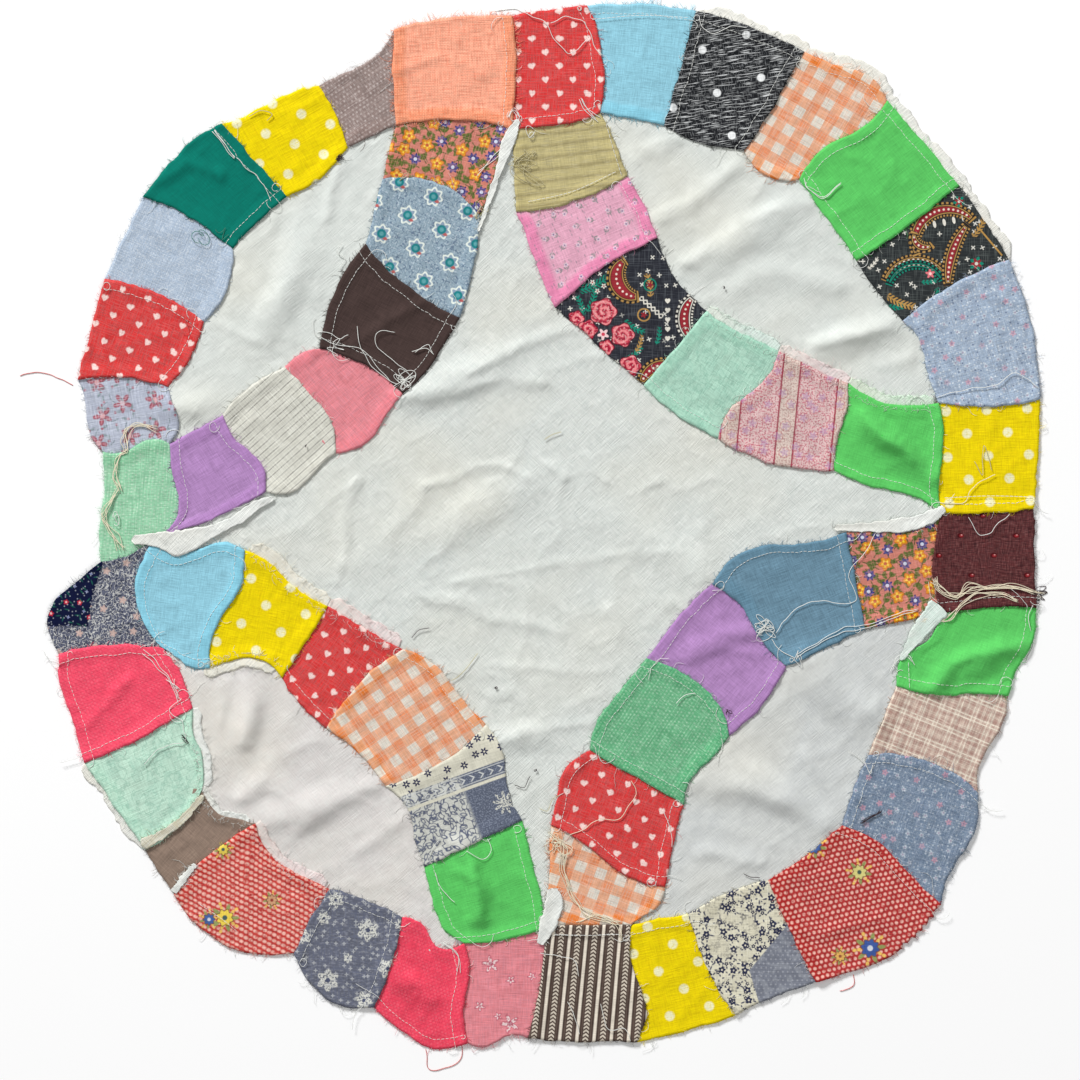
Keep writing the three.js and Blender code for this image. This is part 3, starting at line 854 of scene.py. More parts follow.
class Cloth:
    """One cloth material in the making: its places, and its colour so far."""

    def __init__(self, name, colour):
        self.name = name
        self.material = bpy.data.materials.new(name)
        self.material.use_nodes = True
        self.tree = self.material.node_tree
        self.tree.nodes.clear()
        cloth = self.node("Attribute", {}, attribute_name="cloth")
        self.x, self.y, self.band = self.parts("XYZ", cloth.outputs["Vector"])
        side = self.node("Attribute", {}, attribute_name="right_side")
        self.right_side = Field(self.tree, side.outputs["Fac"])
        self.colour = linear(colour)

    def node(self, kind, inputs, **settings):
        return add_node(self.tree, kind, inputs, **settings)

    def parts(self, kind, socket):
        """The three parts of a vector or a colour."""
        node = self.node(f"Separate{kind}", {0: socket})
        return [Field(self.tree, node.outputs[part]) for part in range(3)]

    def point(self, x, y):
        return self.node("CombineXYZ", {0: x, 1: y}).outputs[0]

    def noise(self, size, stretch=1.0, detail=2.0, x=None, y=None):
        """Noise from 0 to 1, about size across and stretched along x."""
        x = self.x if x is None else x
        y = self.y if y is None else y
        place = self.point(x * (1 / (size * stretch)), y * (1 / size))
        inputs = {"Scale": 1.0, "Detail": detail, "Vector": place}
        return Field(self.tree, self.node("TexNoise", inputs, noise_dimensions="2D").outputs["Fac"])

    def at(self, x, y, turn=0.0):
        """Places as seen from one motif, turned by degrees."""
        return spin(self.x - x, self.y - y, math.radians(turn))

    def scatter(self, pitch, jitter, shift=0.0):
        """Places strewn about: the way from the nearest one, and two numbers drawn for it."""
        x = self.x * (1 / pitch) + shift
        y = self.y * (1 / pitch) + shift * 1.7
        inputs = {"Scale": 1.0, "Randomness": jitter, "Vector": self.point(x, y)}
        node = self.node("TexVoronoi", inputs, voronoi_dimensions="2D")
        place_x, place_y, _ = self.parts("XYZ", node.outputs["Position"])
        first, second, _ = self.parts("Color", node.outputs["Color"])
        return (x - place_x) * pitch, (y - place_y) * pitch, first, second

    def strewn(self, pitch, jitter=0.8, shift=0.0):
        """The same, each place turned a way of its own, with the second number alone."""
        x, y, draw, kind = self.scatter(pitch, jitter, shift)
        x, y = spin(x, y, draw * ANY_WAY)
        return x, y, kind

    def lattice(self, across, along, stagger=0.5, turn=0.0):
        """Places in even rows: the way from the nearest one."""
        x, y = self.at(0, 0, turn)
        row = (y * (1 / along) + 0.5).whole()
        return (x - row * (stagger * across)).repeat(across), y.repeat(along)

    def paint(self, ink, colour):
        """Lays a colour where ink is 1, over what is there."""
        inputs = {"Factor": ink, 6: self.colour, 7: linear(colour)}
        self.colour = self.node("Mix", inputs, data_type="RGBA").outputs[2]

    def streaks(self, colour, strength, thread=0.6, stretch=16.0, turn=0.0, low=0.52, high=0.72):
        """Single threads of another colour, here and there, along one way of the weave."""
        x, y = self.at(0, 0, turn)
        self.paint(self.noise(thread, stretch, 1.0, x, y).above(low, high) * strength, colour)

    def cross_streaks(self, colour, strength, **settings):
        """The same along both ways of the weave."""
        for turn in (0, 90):
            self.streaks(colour, strength, turn=turn, **settings)

    def finish(self, slub=0.11, band=(0.03, 0.02), nap=0.45, mottle=0.2, turn=0.0):
        """Adds the weave's uneven threads, the fuller colour of an allowance and the surface.

        The material is then in MATERIALS.
        """
        x, y = self.at(0, 0, turn)
        threads = self.noise(0.55, 14.0, 1.0, x, y) + self.noise(0.55, 14.0, 1.0, y, x)
        worn = self.noise(7.0) - 0.5 + (self.noise(1.3) - 0.5) * 0.7
        shade = (threads - 1.0) * (slub * 4) + worn * mottle + 0.965
        fuller = self.right_side * 0.25 + self.band * band[0] + 1.0
        brighter = shade + self.band * band[1]
        colour = {"Saturation": fuller, "Value": brighter, "Color": self.colour}
        relief = {"Strength": 0.3, "Distance": nap * MM, "Height": threads + self.noise(2.6) * 0.6}
        surface = {
            "Roughness": 0.95,
            "Specular IOR Level": 0.1,
            "Sheen Weight": 0.04,
            "Sheen Roughness": 0.6,
            "Base Color": self.node("HueSaturation", colour).outputs[0],
            "Normal": self.node("Bump", relief).outputs[0],
        }
        shader = self.node("BsdfPrincipled", surface)
        self.node("OutputMaterial", {"Surface": shader.outputs[0]})
        MATERIALS[self.name] = self.material


# Plain cottons


def muslin(name, colour, woven):
    """White cotton. How much its threads show is given by woven."""
    cloth = Cloth(name, colour)
    cloth.cross_streaks((240, 242, 238), 0.34 * woven, stretch=11, low=0.5, high=0.72)
    cloth.cross_streaks((190, 198, 195), 0.26 * woven, thread=0.7, stretch=9, low=0.54, high=0.74)
    cloth.paint(cloth.noise(90.0).above(0.45, 0.7) * 0.35, (226, 221, 204))
    cloth.paint(cloth.noise(5.0, 1.6, 3.0).above(0.42, 0.62) * 0.16, (232, 234, 229))
    cloth.finish(slub=0.03 * woven, mottle=0.1, nap=0.25 + 0.65 * woven)


def slub_peach():
    cloth = Cloth("peach", (249, 170, 140))
    weave = cloth.x.wave(1.5) * cloth.y.wave(1.5)
    cloth.paint(weave.above(-0.2, 1.0) * 0.45, (255, 205, 178))
    cloth.cross_streaks((230, 120, 92), 0.4, thread=0.5)
    cloth.finish(slub=0.1, band=(0.1, -0.04), nap=0.6)


def dobby(name, colour):
    """A plain pink with a slanting rib and small raised dots."""
    cloth = Cloth(name, colour)
    rib = cloth.at(0, 0, 38)[1] + cloth.noise(9.0) * 2.0
    cloth.paint(rib.wave(1.9).above(0.2, 1.0) * 0.3, (204, 44, 80))
    x, y = cloth.lattice(1.9, 1.5)
    cloth.paint(disc(x, y, 0.5).ink(0.7) * cloth.noise(4.0).above(0.3, 0.6) * 0.32, (252, 136, 152))
    cloth.finish(slub=0.07, band=(0.0, 0.03), nap=0.5)


def striped_khaki():
    cloth = Cloth("khaki", (196, 184, 132))
    wander = cloth.noise(9, 3.0) * 1.2
    rows = (cloth.y + wander).repeat(5.8).size()
    cloth.paint(rows.above(1.4, 2.7) * 0.75, (158, 146, 104))
    cloth.streaks((120, 112, 84), 0.4, stretch=10)
    cloth.streaks((222, 212, 170), 0.35, stretch=10, low=0.56)
    cloth.finish(slub=0.08)


def white_ticking():
    cloth = Cloth("ticking", (214, 213, 202))
    cloth.paint(stripe(cloth.y.repeat(2.9), 0.22).ink(0.35) * 0.75, (108, 106, 100))
    cloth.paint(stripe((cloth.y + 1.45).repeat(2.9), 0.25).ink(0.5) * 0.25, (170, 168, 158))
    cloth.cross_streaks((232, 232, 222), 0.5)
    cloth.finish(slub=0.06)


# Dots, checks and stripes


def pin_dots(name, colour, dot_colour, across, along, radius, strength):
    cloth = Cloth(name, colour)
    worn = cloth.noise(3.0).above(0.3, 0.6) * strength
    x, y = cloth.lattice(across, along)
    cloth.paint(disc(x, y, radius).ink(0.5) * worn, dot_colour)
    cloth.cross_streaks(dot_colour, 0.2)
    cloth.finish(slub=0.1, band=(0.1, -0.03))


def yellow_dots():
    cloth = Cloth("yellow_dots", (240, 216, 0))
    cloth.cross_streaks((226, 196, 2), 0.5, low=0.5, high=0.66)
    x, y = cloth.lattice(20.3, 11.5)
    worn = cloth.noise(1.2).above(0.15, 0.45)
    cloth.paint(disc(x, y, 2.4).ink(0.8) * worn, (240, 236, 192))
    cloth.finish(slub=0.05, band=(0.0, 0.02))


def black_dots():
    cloth = Cloth("black_dots", (30, 32, 36))
    cloth.streaks((206, 208, 208), 0.85, thread=0.55, stretch=13, turn=-10, low=0.56, high=0.64)
    cloth.streaks((20, 22, 26), 0.8, thread=0.6, stretch=14, turn=-10, low=0.48, high=0.6)
    cloth.streaks((140, 142, 144), 0.5, thread=0.5, stretch=5, turn=80, low=0.55, high=0.68)
    x, y = cloth.lattice(23.2, 22.6, 0.0)
    cloth.paint(disc(x, y, 2.0).ink(0.5), (236, 238, 238))
    cloth.finish(slub=0.16, band=(0.0, -0.12), turn=-10)


def red_hearts():
    cloth = Cloth("red_hearts", (216, 58, 58))
    cloth.cross_streaks((246, 142, 138), 0.7, thread=0.5, low=0.53, high=0.68)
    cloth.cross_streaks((176, 32, 38), 0.6, thread=0.5, low=0.53, high=0.68)
    x, y = cloth.lattice(9.7, 9.7, 0.0, turn=45)
    wobble = cloth.noise(11.0) - 0.5
    x, y = spin(x, y, wobble * 3.0 - math.radians(45))
    cloth.paint(heart(x, y, 1.65).ink(0.7) * 0.95, (248, 218, 212))
    cloth.finish(slub=0.1, band=(0.0, 0.02))


def gingham():
    cloth = Cloth("gingham", (222, 216, 204))
    warp = (cloth.x.repeat(10.6).size() - 2.65).ink()
    weft = (cloth.y.repeat(10.6).size() - 2.65).ink()
    cloth.paint(warp.either(weft), (230, 170, 136))
    cloth.paint(warp * weft, (228, 144, 102))
    cloth.cross_streaks((240, 220, 202), 0.4)
    cloth.cross_streaks((196, 118, 84), 0.25, low=0.56)
    cloth.finish(slub=0.09, band=(0.15, 0.04))


def plaid():
    cloth = Cloth("plaid", (200, 174, 160))
    worn = cloth.noise(2.0).above(0.2, 0.5)
    for across, period in ((cloth.x, 8.4), (cloth.y, 9.4)):
        place = across.repeat(period).size()
        cloth.paint(stripe(place - 2.5, 0.75).ink(1.0) * 0.4, (160, 116, 108))
        cloth.paint(stripe(place - 0.9, 0.3).ink(0.4) * worn * 0.9, (240, 230, 212))
        cloth.paint(stripe(place - period * 0.46, 0.12).ink() * worn * 0.6, (232, 220, 202))
    cloth.cross_streaks((228, 216, 200), 0.4)
    cloth.finish(slub=0.1, band=(0.05, 0.02))


def brown_stripe():
    cloth = Cloth("brown_stripe", (82, 67, 60))
    cloth.streaks((58, 44, 40), 0.6, thread=0.8, turn=90, stretch=10)
    fan = cloth.x * (1 + cloth.y * 0.0006)
    line = fan.repeat(8.3)
    cloth.paint(stripe(line, 0.75).ink(0.4), (232, 222, 206))
    side = (line.size() - 4.15).size()
    braid = (cloth.y + side * 0.8).repeat(1.9).size()
    cloth.paint((0.5 - braid).both(1.35 - side).ink(0.35) * 0.9, (222, 211, 194))
    cloth.paint(stripe(line.size() - 2.0, 0.2).ink() * 0.45, (120, 104, 94))
    cloth.finish(slub=0.07)


def maroon_beads():
    """Maroon with rows of small dark beads, each painted lighter on one side and with a painted highlight.
    """
    cloth = Cloth("maroon", (94, 46, 47))
    cloth.cross_streaks((136, 92, 90), 0.35, thread=0.5, stretch=7, low=0.5, high=0.66)
    cloth.cross_streaks((56, 24, 30), 0.5, thread=0.55, stretch=7, low=0.5, high=0.64)
    x, y = cloth.lattice(27.6, 9.9, 0.4)
    cloth.paint(oval(x, y, 1.7, 1.3).ink(0.5), (74, 8, 16))
    # Painted light on each bead: a lighter side, then a small painted highlight spot
    cloth.paint(oval(x - 0.3, y + 0.1, 1.0, 0.7).ink(0.5), (150, 40, 46))
    cloth.paint(oval(x - 0.5, y - 0.3, 0.35, 0.25).ink(0.4), (220, 160, 156))
    cloth.finish(slub=0.16)


def pink_stripe():
    cloth = Cloth("pink_stripe", (222, 192, 190))
    speckle = cloth.noise(0.9, 1.0, 1.0)
    cloth.paint(speckle.above(0.5, 0.62) * 0.75, (190, 100, 116))
    place = (cloth.x - 4.4).repeat(28.0)
    cream = stripe(place, 4.2).ink(0.5)
    cloth.paint(cream * 0.75, (220, 205, 192))
    cloth.paint(cream * speckle.above(0.5, 0.66) * 0.6, (176, 134, 132))
    for offset in (-4.4, 4.4):
        cloth.paint(stripe(place - offset, 0.4).ink(0.5) * 0.9, (150, 44, 66))
    x, y, _ = cloth.strewn(8.5)
    flower = petals(x, y, 2.2, 5, 0.25)
    cloth.paint(flower.ink(0.6) * 0.45, (168, 130, 176))
    cloth.paint(ring(x, y, 2.6, 0.5).ink(0.4) * 0.4, (176, 60, 84))
    cloth.finish(slub=0.08, band=(0.08, 0.0))


# Florals


def sprig(cloth, x, y, colour, leaf, size):
    """A small flower on a stem with two leaves."""
    stem = bar(x, y + 2.2 * size, 0.16, 2.0 * size)
    cloth.paint(stem.ink() * 0.8, leaf)
    for side in (-1, 1):
        leaf_x, leaf_y = spin(x - side * 0.9 * size, y + 1.9 * size, side * 0.9)
        cloth.paint(oval(leaf_x, leaf_y, 1.1 * size, 0.42 * size).ink() * 0.85, leaf)
    cloth.paint(petals(x, y, 1.5 * size, 5, 0.25).ink(0.4), colour)


def salmon_floral():
    cloth = Cloth("salmon_floral", (204, 127, 112))
    for shift, lean in ((2.3, 0.7), (6.1, 0.5)):
        x, y, _ = cloth.strewn(5.4, 0.8, shift)
        for side in (-lean, lean):
            leaf_x, leaf_y = spin(x, y, side)
            cloth.paint(oval(leaf_x - 1.5, leaf_y, 1.6, 0.8).ink(0.4), (92, 108, 48))
        cloth.paint(bar(x, y, 2.4, 0.25).ink(0.4), (74, 88, 40))
    x, y, kind = cloth.strewn(9.0, 0.6)
    navy = kind.above(0.49, 0.51)
    flower = petals(x, y, 3.3, 5, 0.17)
    cloth.paint((flower + 0.4).ink(0.4) * (1 - navy), (190, 96, 40))
    cloth.paint(flower.ink(0.4) * (1 - navy), (226, 148, 40))
    cloth.paint((flower - 1.2).ink(0.5) * (1 - navy), (250, 212, 76))
    cloth.paint(disc(x, y, 0.9).ink(0.4) * (1 - navy), (192, 92, 46))
    star = petals(x, y, 3.1, 7, 0.24)
    cloth.paint(star.ink(0.4) * navy, (44, 44, 106))
    cloth.paint(ring(x, y, 1.9, 1.0).ink(0.4) * navy * 0.5, (96, 100, 168))
    cloth.paint(disc(x, y, 0.9).ink(0.4) * navy, (206, 214, 232))
    cloth.cross_streaks((240, 170, 156), 0.25)
    cloth.finish(slub=0.1)


def ring_floral():
    cloth = Cloth("ring_floral", (148, 168, 181))
    swirl = cloth.noise(2.6, 1.0, 1.0) - 0.5
    cloth.paint(stripe(swirl, 0.03).ink(0.03) * 0.75, (88, 108, 134))
    speck = cloth.noise(1.1, 1.0, 0.0)
    cloth.paint(speck.above(0.66, 0.74) * 0.5, (200, 212, 220))
    x, y = cloth.lattice(18.5, 13.6, 0.45)
    halo = petals(x, y, 5.0, 7, 0.12)
    cloth.paint(halo.ink(0.4), (226, 234, 226))
    cloth.paint((halo - 1.05).ink(0.4), (140, 160, 180))
    cloth.paint(oval(x - 2.4, y + 1.6, 1.3, 0.8).ink(0.4), (184, 98, 96))
    cloth.paint(disc(x, y, 2.3).ink(0.4), (38, 128, 134))
    cloth.paint(disc(x, y, 1.1).ink(0.6) * 0.6, (120, 184, 188))
    cloth.finish(slub=0.05)


def pink_floral():
    cloth = Cloth("pink_floral", (226, 168, 190))
    x, y, _ = cloth.strewn(8.6, 0.6)
    sprig(cloth, x, y, (214, 206, 212), (120, 138, 132), 0.85)
    cloth.paint(disc(x, y, 0.45).ink(), (140, 110, 150))
    x, y, _, _ = cloth.scatter(4.4, 1.0, 5.1)
    cloth.paint(oval(x, y, 0.8, 0.35).ink() * 0.5, (120, 124, 130))
    cloth.cross_streaks((246, 190, 212), 0.3)
    cloth.finish(slub=0.08, band=(0.4, 0.05))


def blue_floral(name, colour, pale):
    cloth = Cloth(name, colour)
    cloth.cross_streaks((198, 210, 222), 0.5 * pale, low=0.5, high=0.7)
    cloth.cross_streaks((100, 116, 144), 0.4, low=0.53)
    curls = cloth.noise(1.7, 1.0, 1.0) - 0.5
    cloth.paint(stripe(curls, 0.02).ink(0.03) * 0.6 * pale, (214, 224, 232))
    for pitch, shift, speck, radius in ((2.6, 3.1, (222, 230, 236), 0.42), (4.2, 7.7, (84, 98, 130), 0.4)):
        x, y, _, kind = cloth.scatter(pitch, 1.0, shift)
        cloth.paint(disc(x, y, radius).ink(0.4) * kind.above(0.3, 0.4) * 0.8 * pale, speck)
    x, y, kind = cloth.strewn(7.4, 0.9, 1.3)
    pink = kind.above(0.5, 0.55)
    cloth.paint(petals(x, y, 1.6, 5, 0.2).ink(0.8) * pink * 0.7, (216, 158, 172))
    cloth.paint(petals(x, y, 1.2, 5, 0.2).ink(0.8) * (1 - pink) * 0.6, (222, 230, 234))
    cloth.paint(disc(x, y, 0.45).ink(0.5) * 0.8, (150, 130, 160))
    cloth.paint(cloth.noise(6.0, 1.0, 3.0).above(0.45, 0.6) * 0.2, (92, 108, 134))
    cloth.finish(slub=0.1)


def pale_blue():
    cloth = Cloth("pale_blue", (176, 182, 198))
    x, y, draw, _ = cloth.scatter(14.0, 0.45)
    x, y = spin(x, y, draw * 2.0)
    stem = ring(x, y + 5, 5.0, 0.5)
    cloth.paint(stem.ink(0.5) * 0.7, (104, 122, 126))
    for turn in range(5):
        leaf_x, leaf_y = spin(x, y, turn * 1.26)
        cloth.paint(oval(leaf_x - 2.9, leaf_y, 2.1, 1.2).ink(0.5) * 0.9, (158, 66, 80))
        cloth.paint(oval(leaf_x - 3.0, leaf_y, 1.1, 0.4).ink(0.5) * 0.7, (206, 136, 146))
    cloth.paint(disc(x, y, 1.3).ink(0.4), (214, 164, 168))
    x, y, _ = cloth.strewn(6.5, 0.9, 4.0)
    cloth.paint(oval(x, y, 1.5, 0.6).ink(0.5) * 0.7, (112, 132, 132))
    cloth.paint(disc(x - 1.8, y, 0.7).ink(0.5) * 0.8, (166, 84, 98))
    cloth.cross_streaks((204, 210, 222), 0.5)
    cloth.finish(slub=0.1)


def grey_blue():
    cloth = Cloth("grey_blue", (168, 184, 203))
    vermicelli = cloth.noise(1.5, 1.0, 1.0) - 0.5
    cloth.paint(stripe(vermicelli, 0.035).ink(0.05) * 0.7, (214, 222, 230))
    cloth.cross_streaks((192, 204, 218), 0.4)
    cloth.finish(slub=0.06)


def mint(name, colour):
    cloth = Cloth(name, colour)
    swirl = cloth.noise(5.0, 1.0, 2.0) - 0.5
    cloth.paint(stripe(swirl, 0.03).ink(0.06) * 0.4, (120, 172, 152))
    cloth.paint(cloth.noise(11).above(0.4, 0.7) * 0.3, (148, 192, 174))
    cloth.finish(slub=0.08, band=(0.1, 0.03))


def rose(name, motifs):
    cloth = Cloth(name, (226, 134, 142))
    cloth.cross_streaks((240, 170, 176), 0.55, low=0.5, high=0.7)
    cloth.cross_streaks((196, 96, 116), 0.35)
    for place_x, place_y, size in motifs:
        x, y = cloth.at(place_x, place_y, 25 * size)
        grain = cloth.noise(1.1, 1.0, 1.0).above(0.4, 0.5)
        cloth.paint((petals(x, y, size, 5, 0.35) + 0.8).ink(0.6) * 0.6, (180, 84, 104))
        cloth.paint(petals(x, y, size, 5, 0.35).ink(0.6) * grain, (238, 212, 212))
        cloth.paint(disc(x, y, size * 0.3).ink(0.4) * 0.7, (168, 74, 100))
    cloth.finish(slub=0.09, band=(0.05, 0.06))


def red_dots(name, colour, radius, stretch, tilt, flowers):
    """Red with close pale dots, and a few nosegays."""
    cloth = Cloth(name, colour)
    cloth.cross_streaks((150, 34, 38), 0.5)
    warp_x = cloth.noise(14.0) * 2.0
    warp_y = cloth.noise(16.0) * 2.0
    x, y = spin(cloth.x + warp_x, cloth.y + warp_y, math.radians(tilt))
    row = (y * (1 / 2.5) + 0.5).whole()
    dot_x = (x - row * 1.3).repeat(2.6)
    worn = cloth.noise(2.4).above(0.2, 0.5)
    cloth.paint(oval(dot_x, y.repeat(2.5), radius * stretch, radius).ink(0.6) * worn, (244, 190, 176))
    for place_x, place_y, petal_colour, centre, size in flowers:
        x, y = cloth.at(place_x, place_y, 17 * size)
        reach = far_from(x, y)
        around = y.math("ARCTAN2", x)
        turn = around.repeat(FIFTH)
        leaf_y = turn.math("SINE") * reach
        leaf_x = turn.math("COSINE") * reach
        cloth.paint(oval(leaf_x - size * 1.2, leaf_y, size * 0.5, size * 0.22).ink(0.5), (150, 158, 96))
        turn = (around + 0.6).repeat(FIFTH)
        bud_y = turn.math("SINE") * reach
        bud_x = (turn.math("COSINE") * reach - size * 1.45).size()
        cloth.paint(oval(bud_x - size * 0.25, bud_y, size * 0.24, size * 0.18).ink(0.5), (240, 196, 104))
        flower = (around * 8).math("COSINE") * (size * 0.12) + size * 0.88 - reach
        cloth.paint((flower + 0.5).ink(0.5), (120, 84, 60))
        cloth.paint(flower.ink(0.5), petal_colour)
        cloth.paint(disc(x, y, size * 0.3).ink(0.5), centre)
    cloth.finish(slub=0.06)


def navy_flowers(cloth, pitch, petal_size, shown=0.0, shift=0.0):
    """Strewn navy flowers with three leaves each. The higher shown is, the fewer flowers there are."""
    x, y, kind = cloth.strewn(pitch, 0.7, shift)
    visible = kind.above(shown, shown + 0.05)
    cloth.paint(petals(x, y, petal_size, 5, 0.16).ink() * visible, (46, 50, 76))
    cloth.paint(disc(x, y, petal_size * 0.25).ink() * visible, (226, 220, 200))
    for lean in (0.7, 2.6, 4.4):
        leaf_x, leaf_y = spin(x, y, lean)
        leaf = oval(leaf_x - petal_size * 1.7, leaf_y, petal_size * 0.6, 0.4)
        cloth.paint(leaf.ink() * 0.9, (58, 62, 90))


def cream_navy():
    """Cream with navy flowers, and a patch of grey with pin dots."""
    cloth = Cloth("cream_navy", (218, 213, 190))
    cloth.cross_streaks((236, 234, 216), 0.5)
    clear = cloth.noise(13.0, 1.0, 1.0).above(0.56, 0.62)
    navy_flowers(cloth, 6.6, 1.9)
    navy_flowers(cloth, 4.4, 1.1, 0.3, 4.4)
    cloth.paint(clear * 0.7, (214, 209, 186))
    upper = (cloth.x - 13) * 0.765 - (cloth.y - 2.3) * 0.644
    lower = (cloth.x + 2.4) * 0.958 + (cloth.y + 16) * 0.286
    patch = upper.both(lower).ink(0.5)
    cloth.paint(patch, (122, 126, 138))
    x, y = cloth.lattice(2.4, 2.1)
    cloth.paint(disc(x, y, 0.4).ink(0.5) * patch * 0.45, (196, 198, 204))
    cloth.paint(cloth.noise(4.0, 1.0, 3.0).above(0.5, 0.6) * patch * 0.4, (164, 168, 176))
    cloth.finish(slub=0.06)


def navy_print():
    """A border print: a chevron band between cream with flowers and navy with leaves."""
    cloth = Cloth("navy_print", (92, 99, 116))
    leaves_x, leaves_y, _ = cloth.strewn(4.3, 0.9)
    left = (-7 - cloth.x).ink(2.0)
    cloth.paint(left * 0.95, (206, 207, 199))
    outline = cloth.noise(4.2, 1.0, 1.0) - 0.5
    cloth.paint(stripe(outline, 0.035).ink(0.04) * left * 0.9, (70, 78, 104))
    leaf = oval(leaves_x, leaves_y, 1.5, 0.7)
    cloth.paint(stripe(leaf, 0.25).ink() * left * 0.8, (84, 92, 116))
    hatch = cloth.noise(0.8, 1.0, 1.0)
    cloth.paint(hatch.above(0.5, 0.62) * (1 - left) * 0.5, (148, 156, 172))
    x, y = cloth.at(10, -17, 0)
    cloth.paint(petals(x, y, 6.0, 9, 0.3).ink(0.5) * hatch.above(0.42, 0.5), (208, 208, 198))
    top = (cloth.y - 3.4).ink(0.4).either((cloth.y + 5).ink(0.4) * (-3.4 - cloth.y).ink(0.4))
    cloth.paint(top, (216, 213, 196))
    x, y, _, _ = cloth.scatter(7.0, 0.7, 3.0)
    flower = petals(x, y, 2.1, 6, 0.27)
    cloth.paint(flower.ink() * (cloth.y - 3.4).ink(0.4), (52, 54, 82))
    cloth.paint(disc(x, y, 0.5).ink() * (cloth.y - 3.4).ink(0.4), (216, 213, 196))
    chevrons = (cloth.x + cloth.y.size() * 1.2).repeat(5.0)
    cloth.paint(stripe(chevrons, 0.5).ink(0.4) * stripe(cloth.y, 1.6).ink(0.4), (206, 208, 206))
    cloth.paint(stripe(cloth.y.size() - 2.5, 0.25).ink() * 0.8, (206, 208, 206))
    cloth.finish(slub=0.06)


def navy_grey():
    cloth = Cloth("navy_grey", (98, 101, 114))
    cloth.paint(cloth.noise(1.1, 2.0, 2.0).above(0.5, 0.62) * 0.5, (150, 152, 162))
    cloth.cross_streaks((132, 138, 156), 0.55, low=0.5, high=0.68)
    cloth.cross_streaks((60, 64, 90), 0.4)
    grain = cloth.noise(0.9, 1.0, 1.0).above(0.38, 0.5)
    for place_x, place_y, size in (
        (10, 7, 5.2),
        (20, -12, 4.6),
        (8, -28, 4.2),
        (-10, -18, 5.2),
        (-6, 22, 3.8),
        (-12, 13, 3.2),
        (26, 10, 2.6),
        (-22, 4, 3.4),
        (0, -7, 2.2),
    ):
        x, y = cloth.at(place_x, place_y, 40 * size)
        cloth.paint(petals(x, y, size * 1.1, 6, 0.16).ink(0.7) * grain, (214, 214, 206))
        cloth.paint(disc(x, y, size * 0.22).ink(0.4), (80, 86, 110))
    x, y, _, _ = cloth.scatter(4.4, 1.0, 8.0)
    cloth.paint(petals(x, y, 1.0, 4, 0.3).ink(0.4) * 0.7, (190, 192, 194))
    cloth.finish(slub=0.06)


def navy_floral():
    """Seen from the wrong side, but for a corner that is folded over."""
    cloth = Cloth("navy_floral", (96, 100, 118))
    swirl = cloth.noise(1.9, 1.0, 1.0) - 0.5
    cloth.paint(cloth.noise(1.6).above(0.5, 0.6) * 0.75, (46, 50, 70))
    cloth.paint(stripe(swirl, 0.035).ink(0.05) * 0.95, (206, 206, 202))
    x, y, _, kind = cloth.scatter(9.0, 0.8)
    cloth.paint(petals(x, y, 1.9, 5, 0.2).ink(0.8) * kind.above(0.4, 0.45) * 0.85, (212, 182, 172))
    folded = cloth.right_side.above(0.45, 0.55)
    cloth.paint(folded, (24, 28, 54))
    x, y, _, kind = cloth.scatter(6.6, 0.75, 2.0)
    pink = kind.above(0.45, 0.5)
    cloth.paint(petals(x, y, 1.35, 5, 0.15).ink(0.6) * folded * pink * 0.9, (206, 104, 112))
    cloth.paint(disc(x, y, 0.5).ink(0.4) * folded * pink, (240, 204, 200))
    cloth.paint(petals(x, y, 0.9, 4, 0.3).ink(0.5) * folded * (1 - pink) * 0.8, (170, 176, 208))
    x, y, _, _ = cloth.scatter(2.6, 1.0, 9.0)
    cloth.paint(disc(x, y, 0.28).ink(0.4) * folded * 0.7, (190, 196, 200))
    x, y, _ = cloth.strewn(4.1, 0.9, 6.0)
    cloth.paint(oval(x, y, 1.0, 0.25).ink(0.4) * folded * 0.8, (58, 112, 92))
    cloth.finish(slub=0.05)


# The two dark prints, with curled drops of a common kind


def sash(cloth, x, y, radius, middle, half_span, half_width, border, filling):
    """A curved band, tapered, with beads round it and a row of pale dots along it."""
    x, y = cloth.at(x, y, middle)
    along = y.math("ARCTAN2", x) * radius
    across = far_from(x, y) - radius
    reach = math.radians(half_span) * radius
    share = along * (1 / reach)
    half = (1 - share * share * 0.55) * half_width
    inside = bar(across, along, half, reach)
    beads = (along.repeat(2.0).size() - 0.5).ink(0.4)
    cloth.paint((inside + 1.7).ink(), (30, 31, 38))
    cloth.paint(stripe(inside + 1.0, 0.5).ink() * beads, border)
    cloth.paint(inside.ink(), border)
    cloth.paint((inside - 0.5).ink(), (40, 24, 30))
    cloth.paint((inside - 0.8).ink(), filling)
    cloth.paint(disc(along.repeat(2.4), across, 0.55).ink() * (inside - 0.7).ink(), (238, 226, 210))


def leafy(cloth, x, y, turn, colour, size):
    """A branch with leaves on both sides."""
    x, y = cloth.at(x, y, turn)
    bent = y - x * x * (0.02 / size)
    reach = stripe(x, 7 * size).ink(1.0)
    cloth.paint(stripe(bent, 0.25).ink() * reach, colour)
    slant = (x - bent.size() * 0.8).repeat(1.9)
    leaf = bar(slant, bent, 0.5, 1.9 * size)
    cloth.paint(leaf.ink(0.35) * reach, colour)


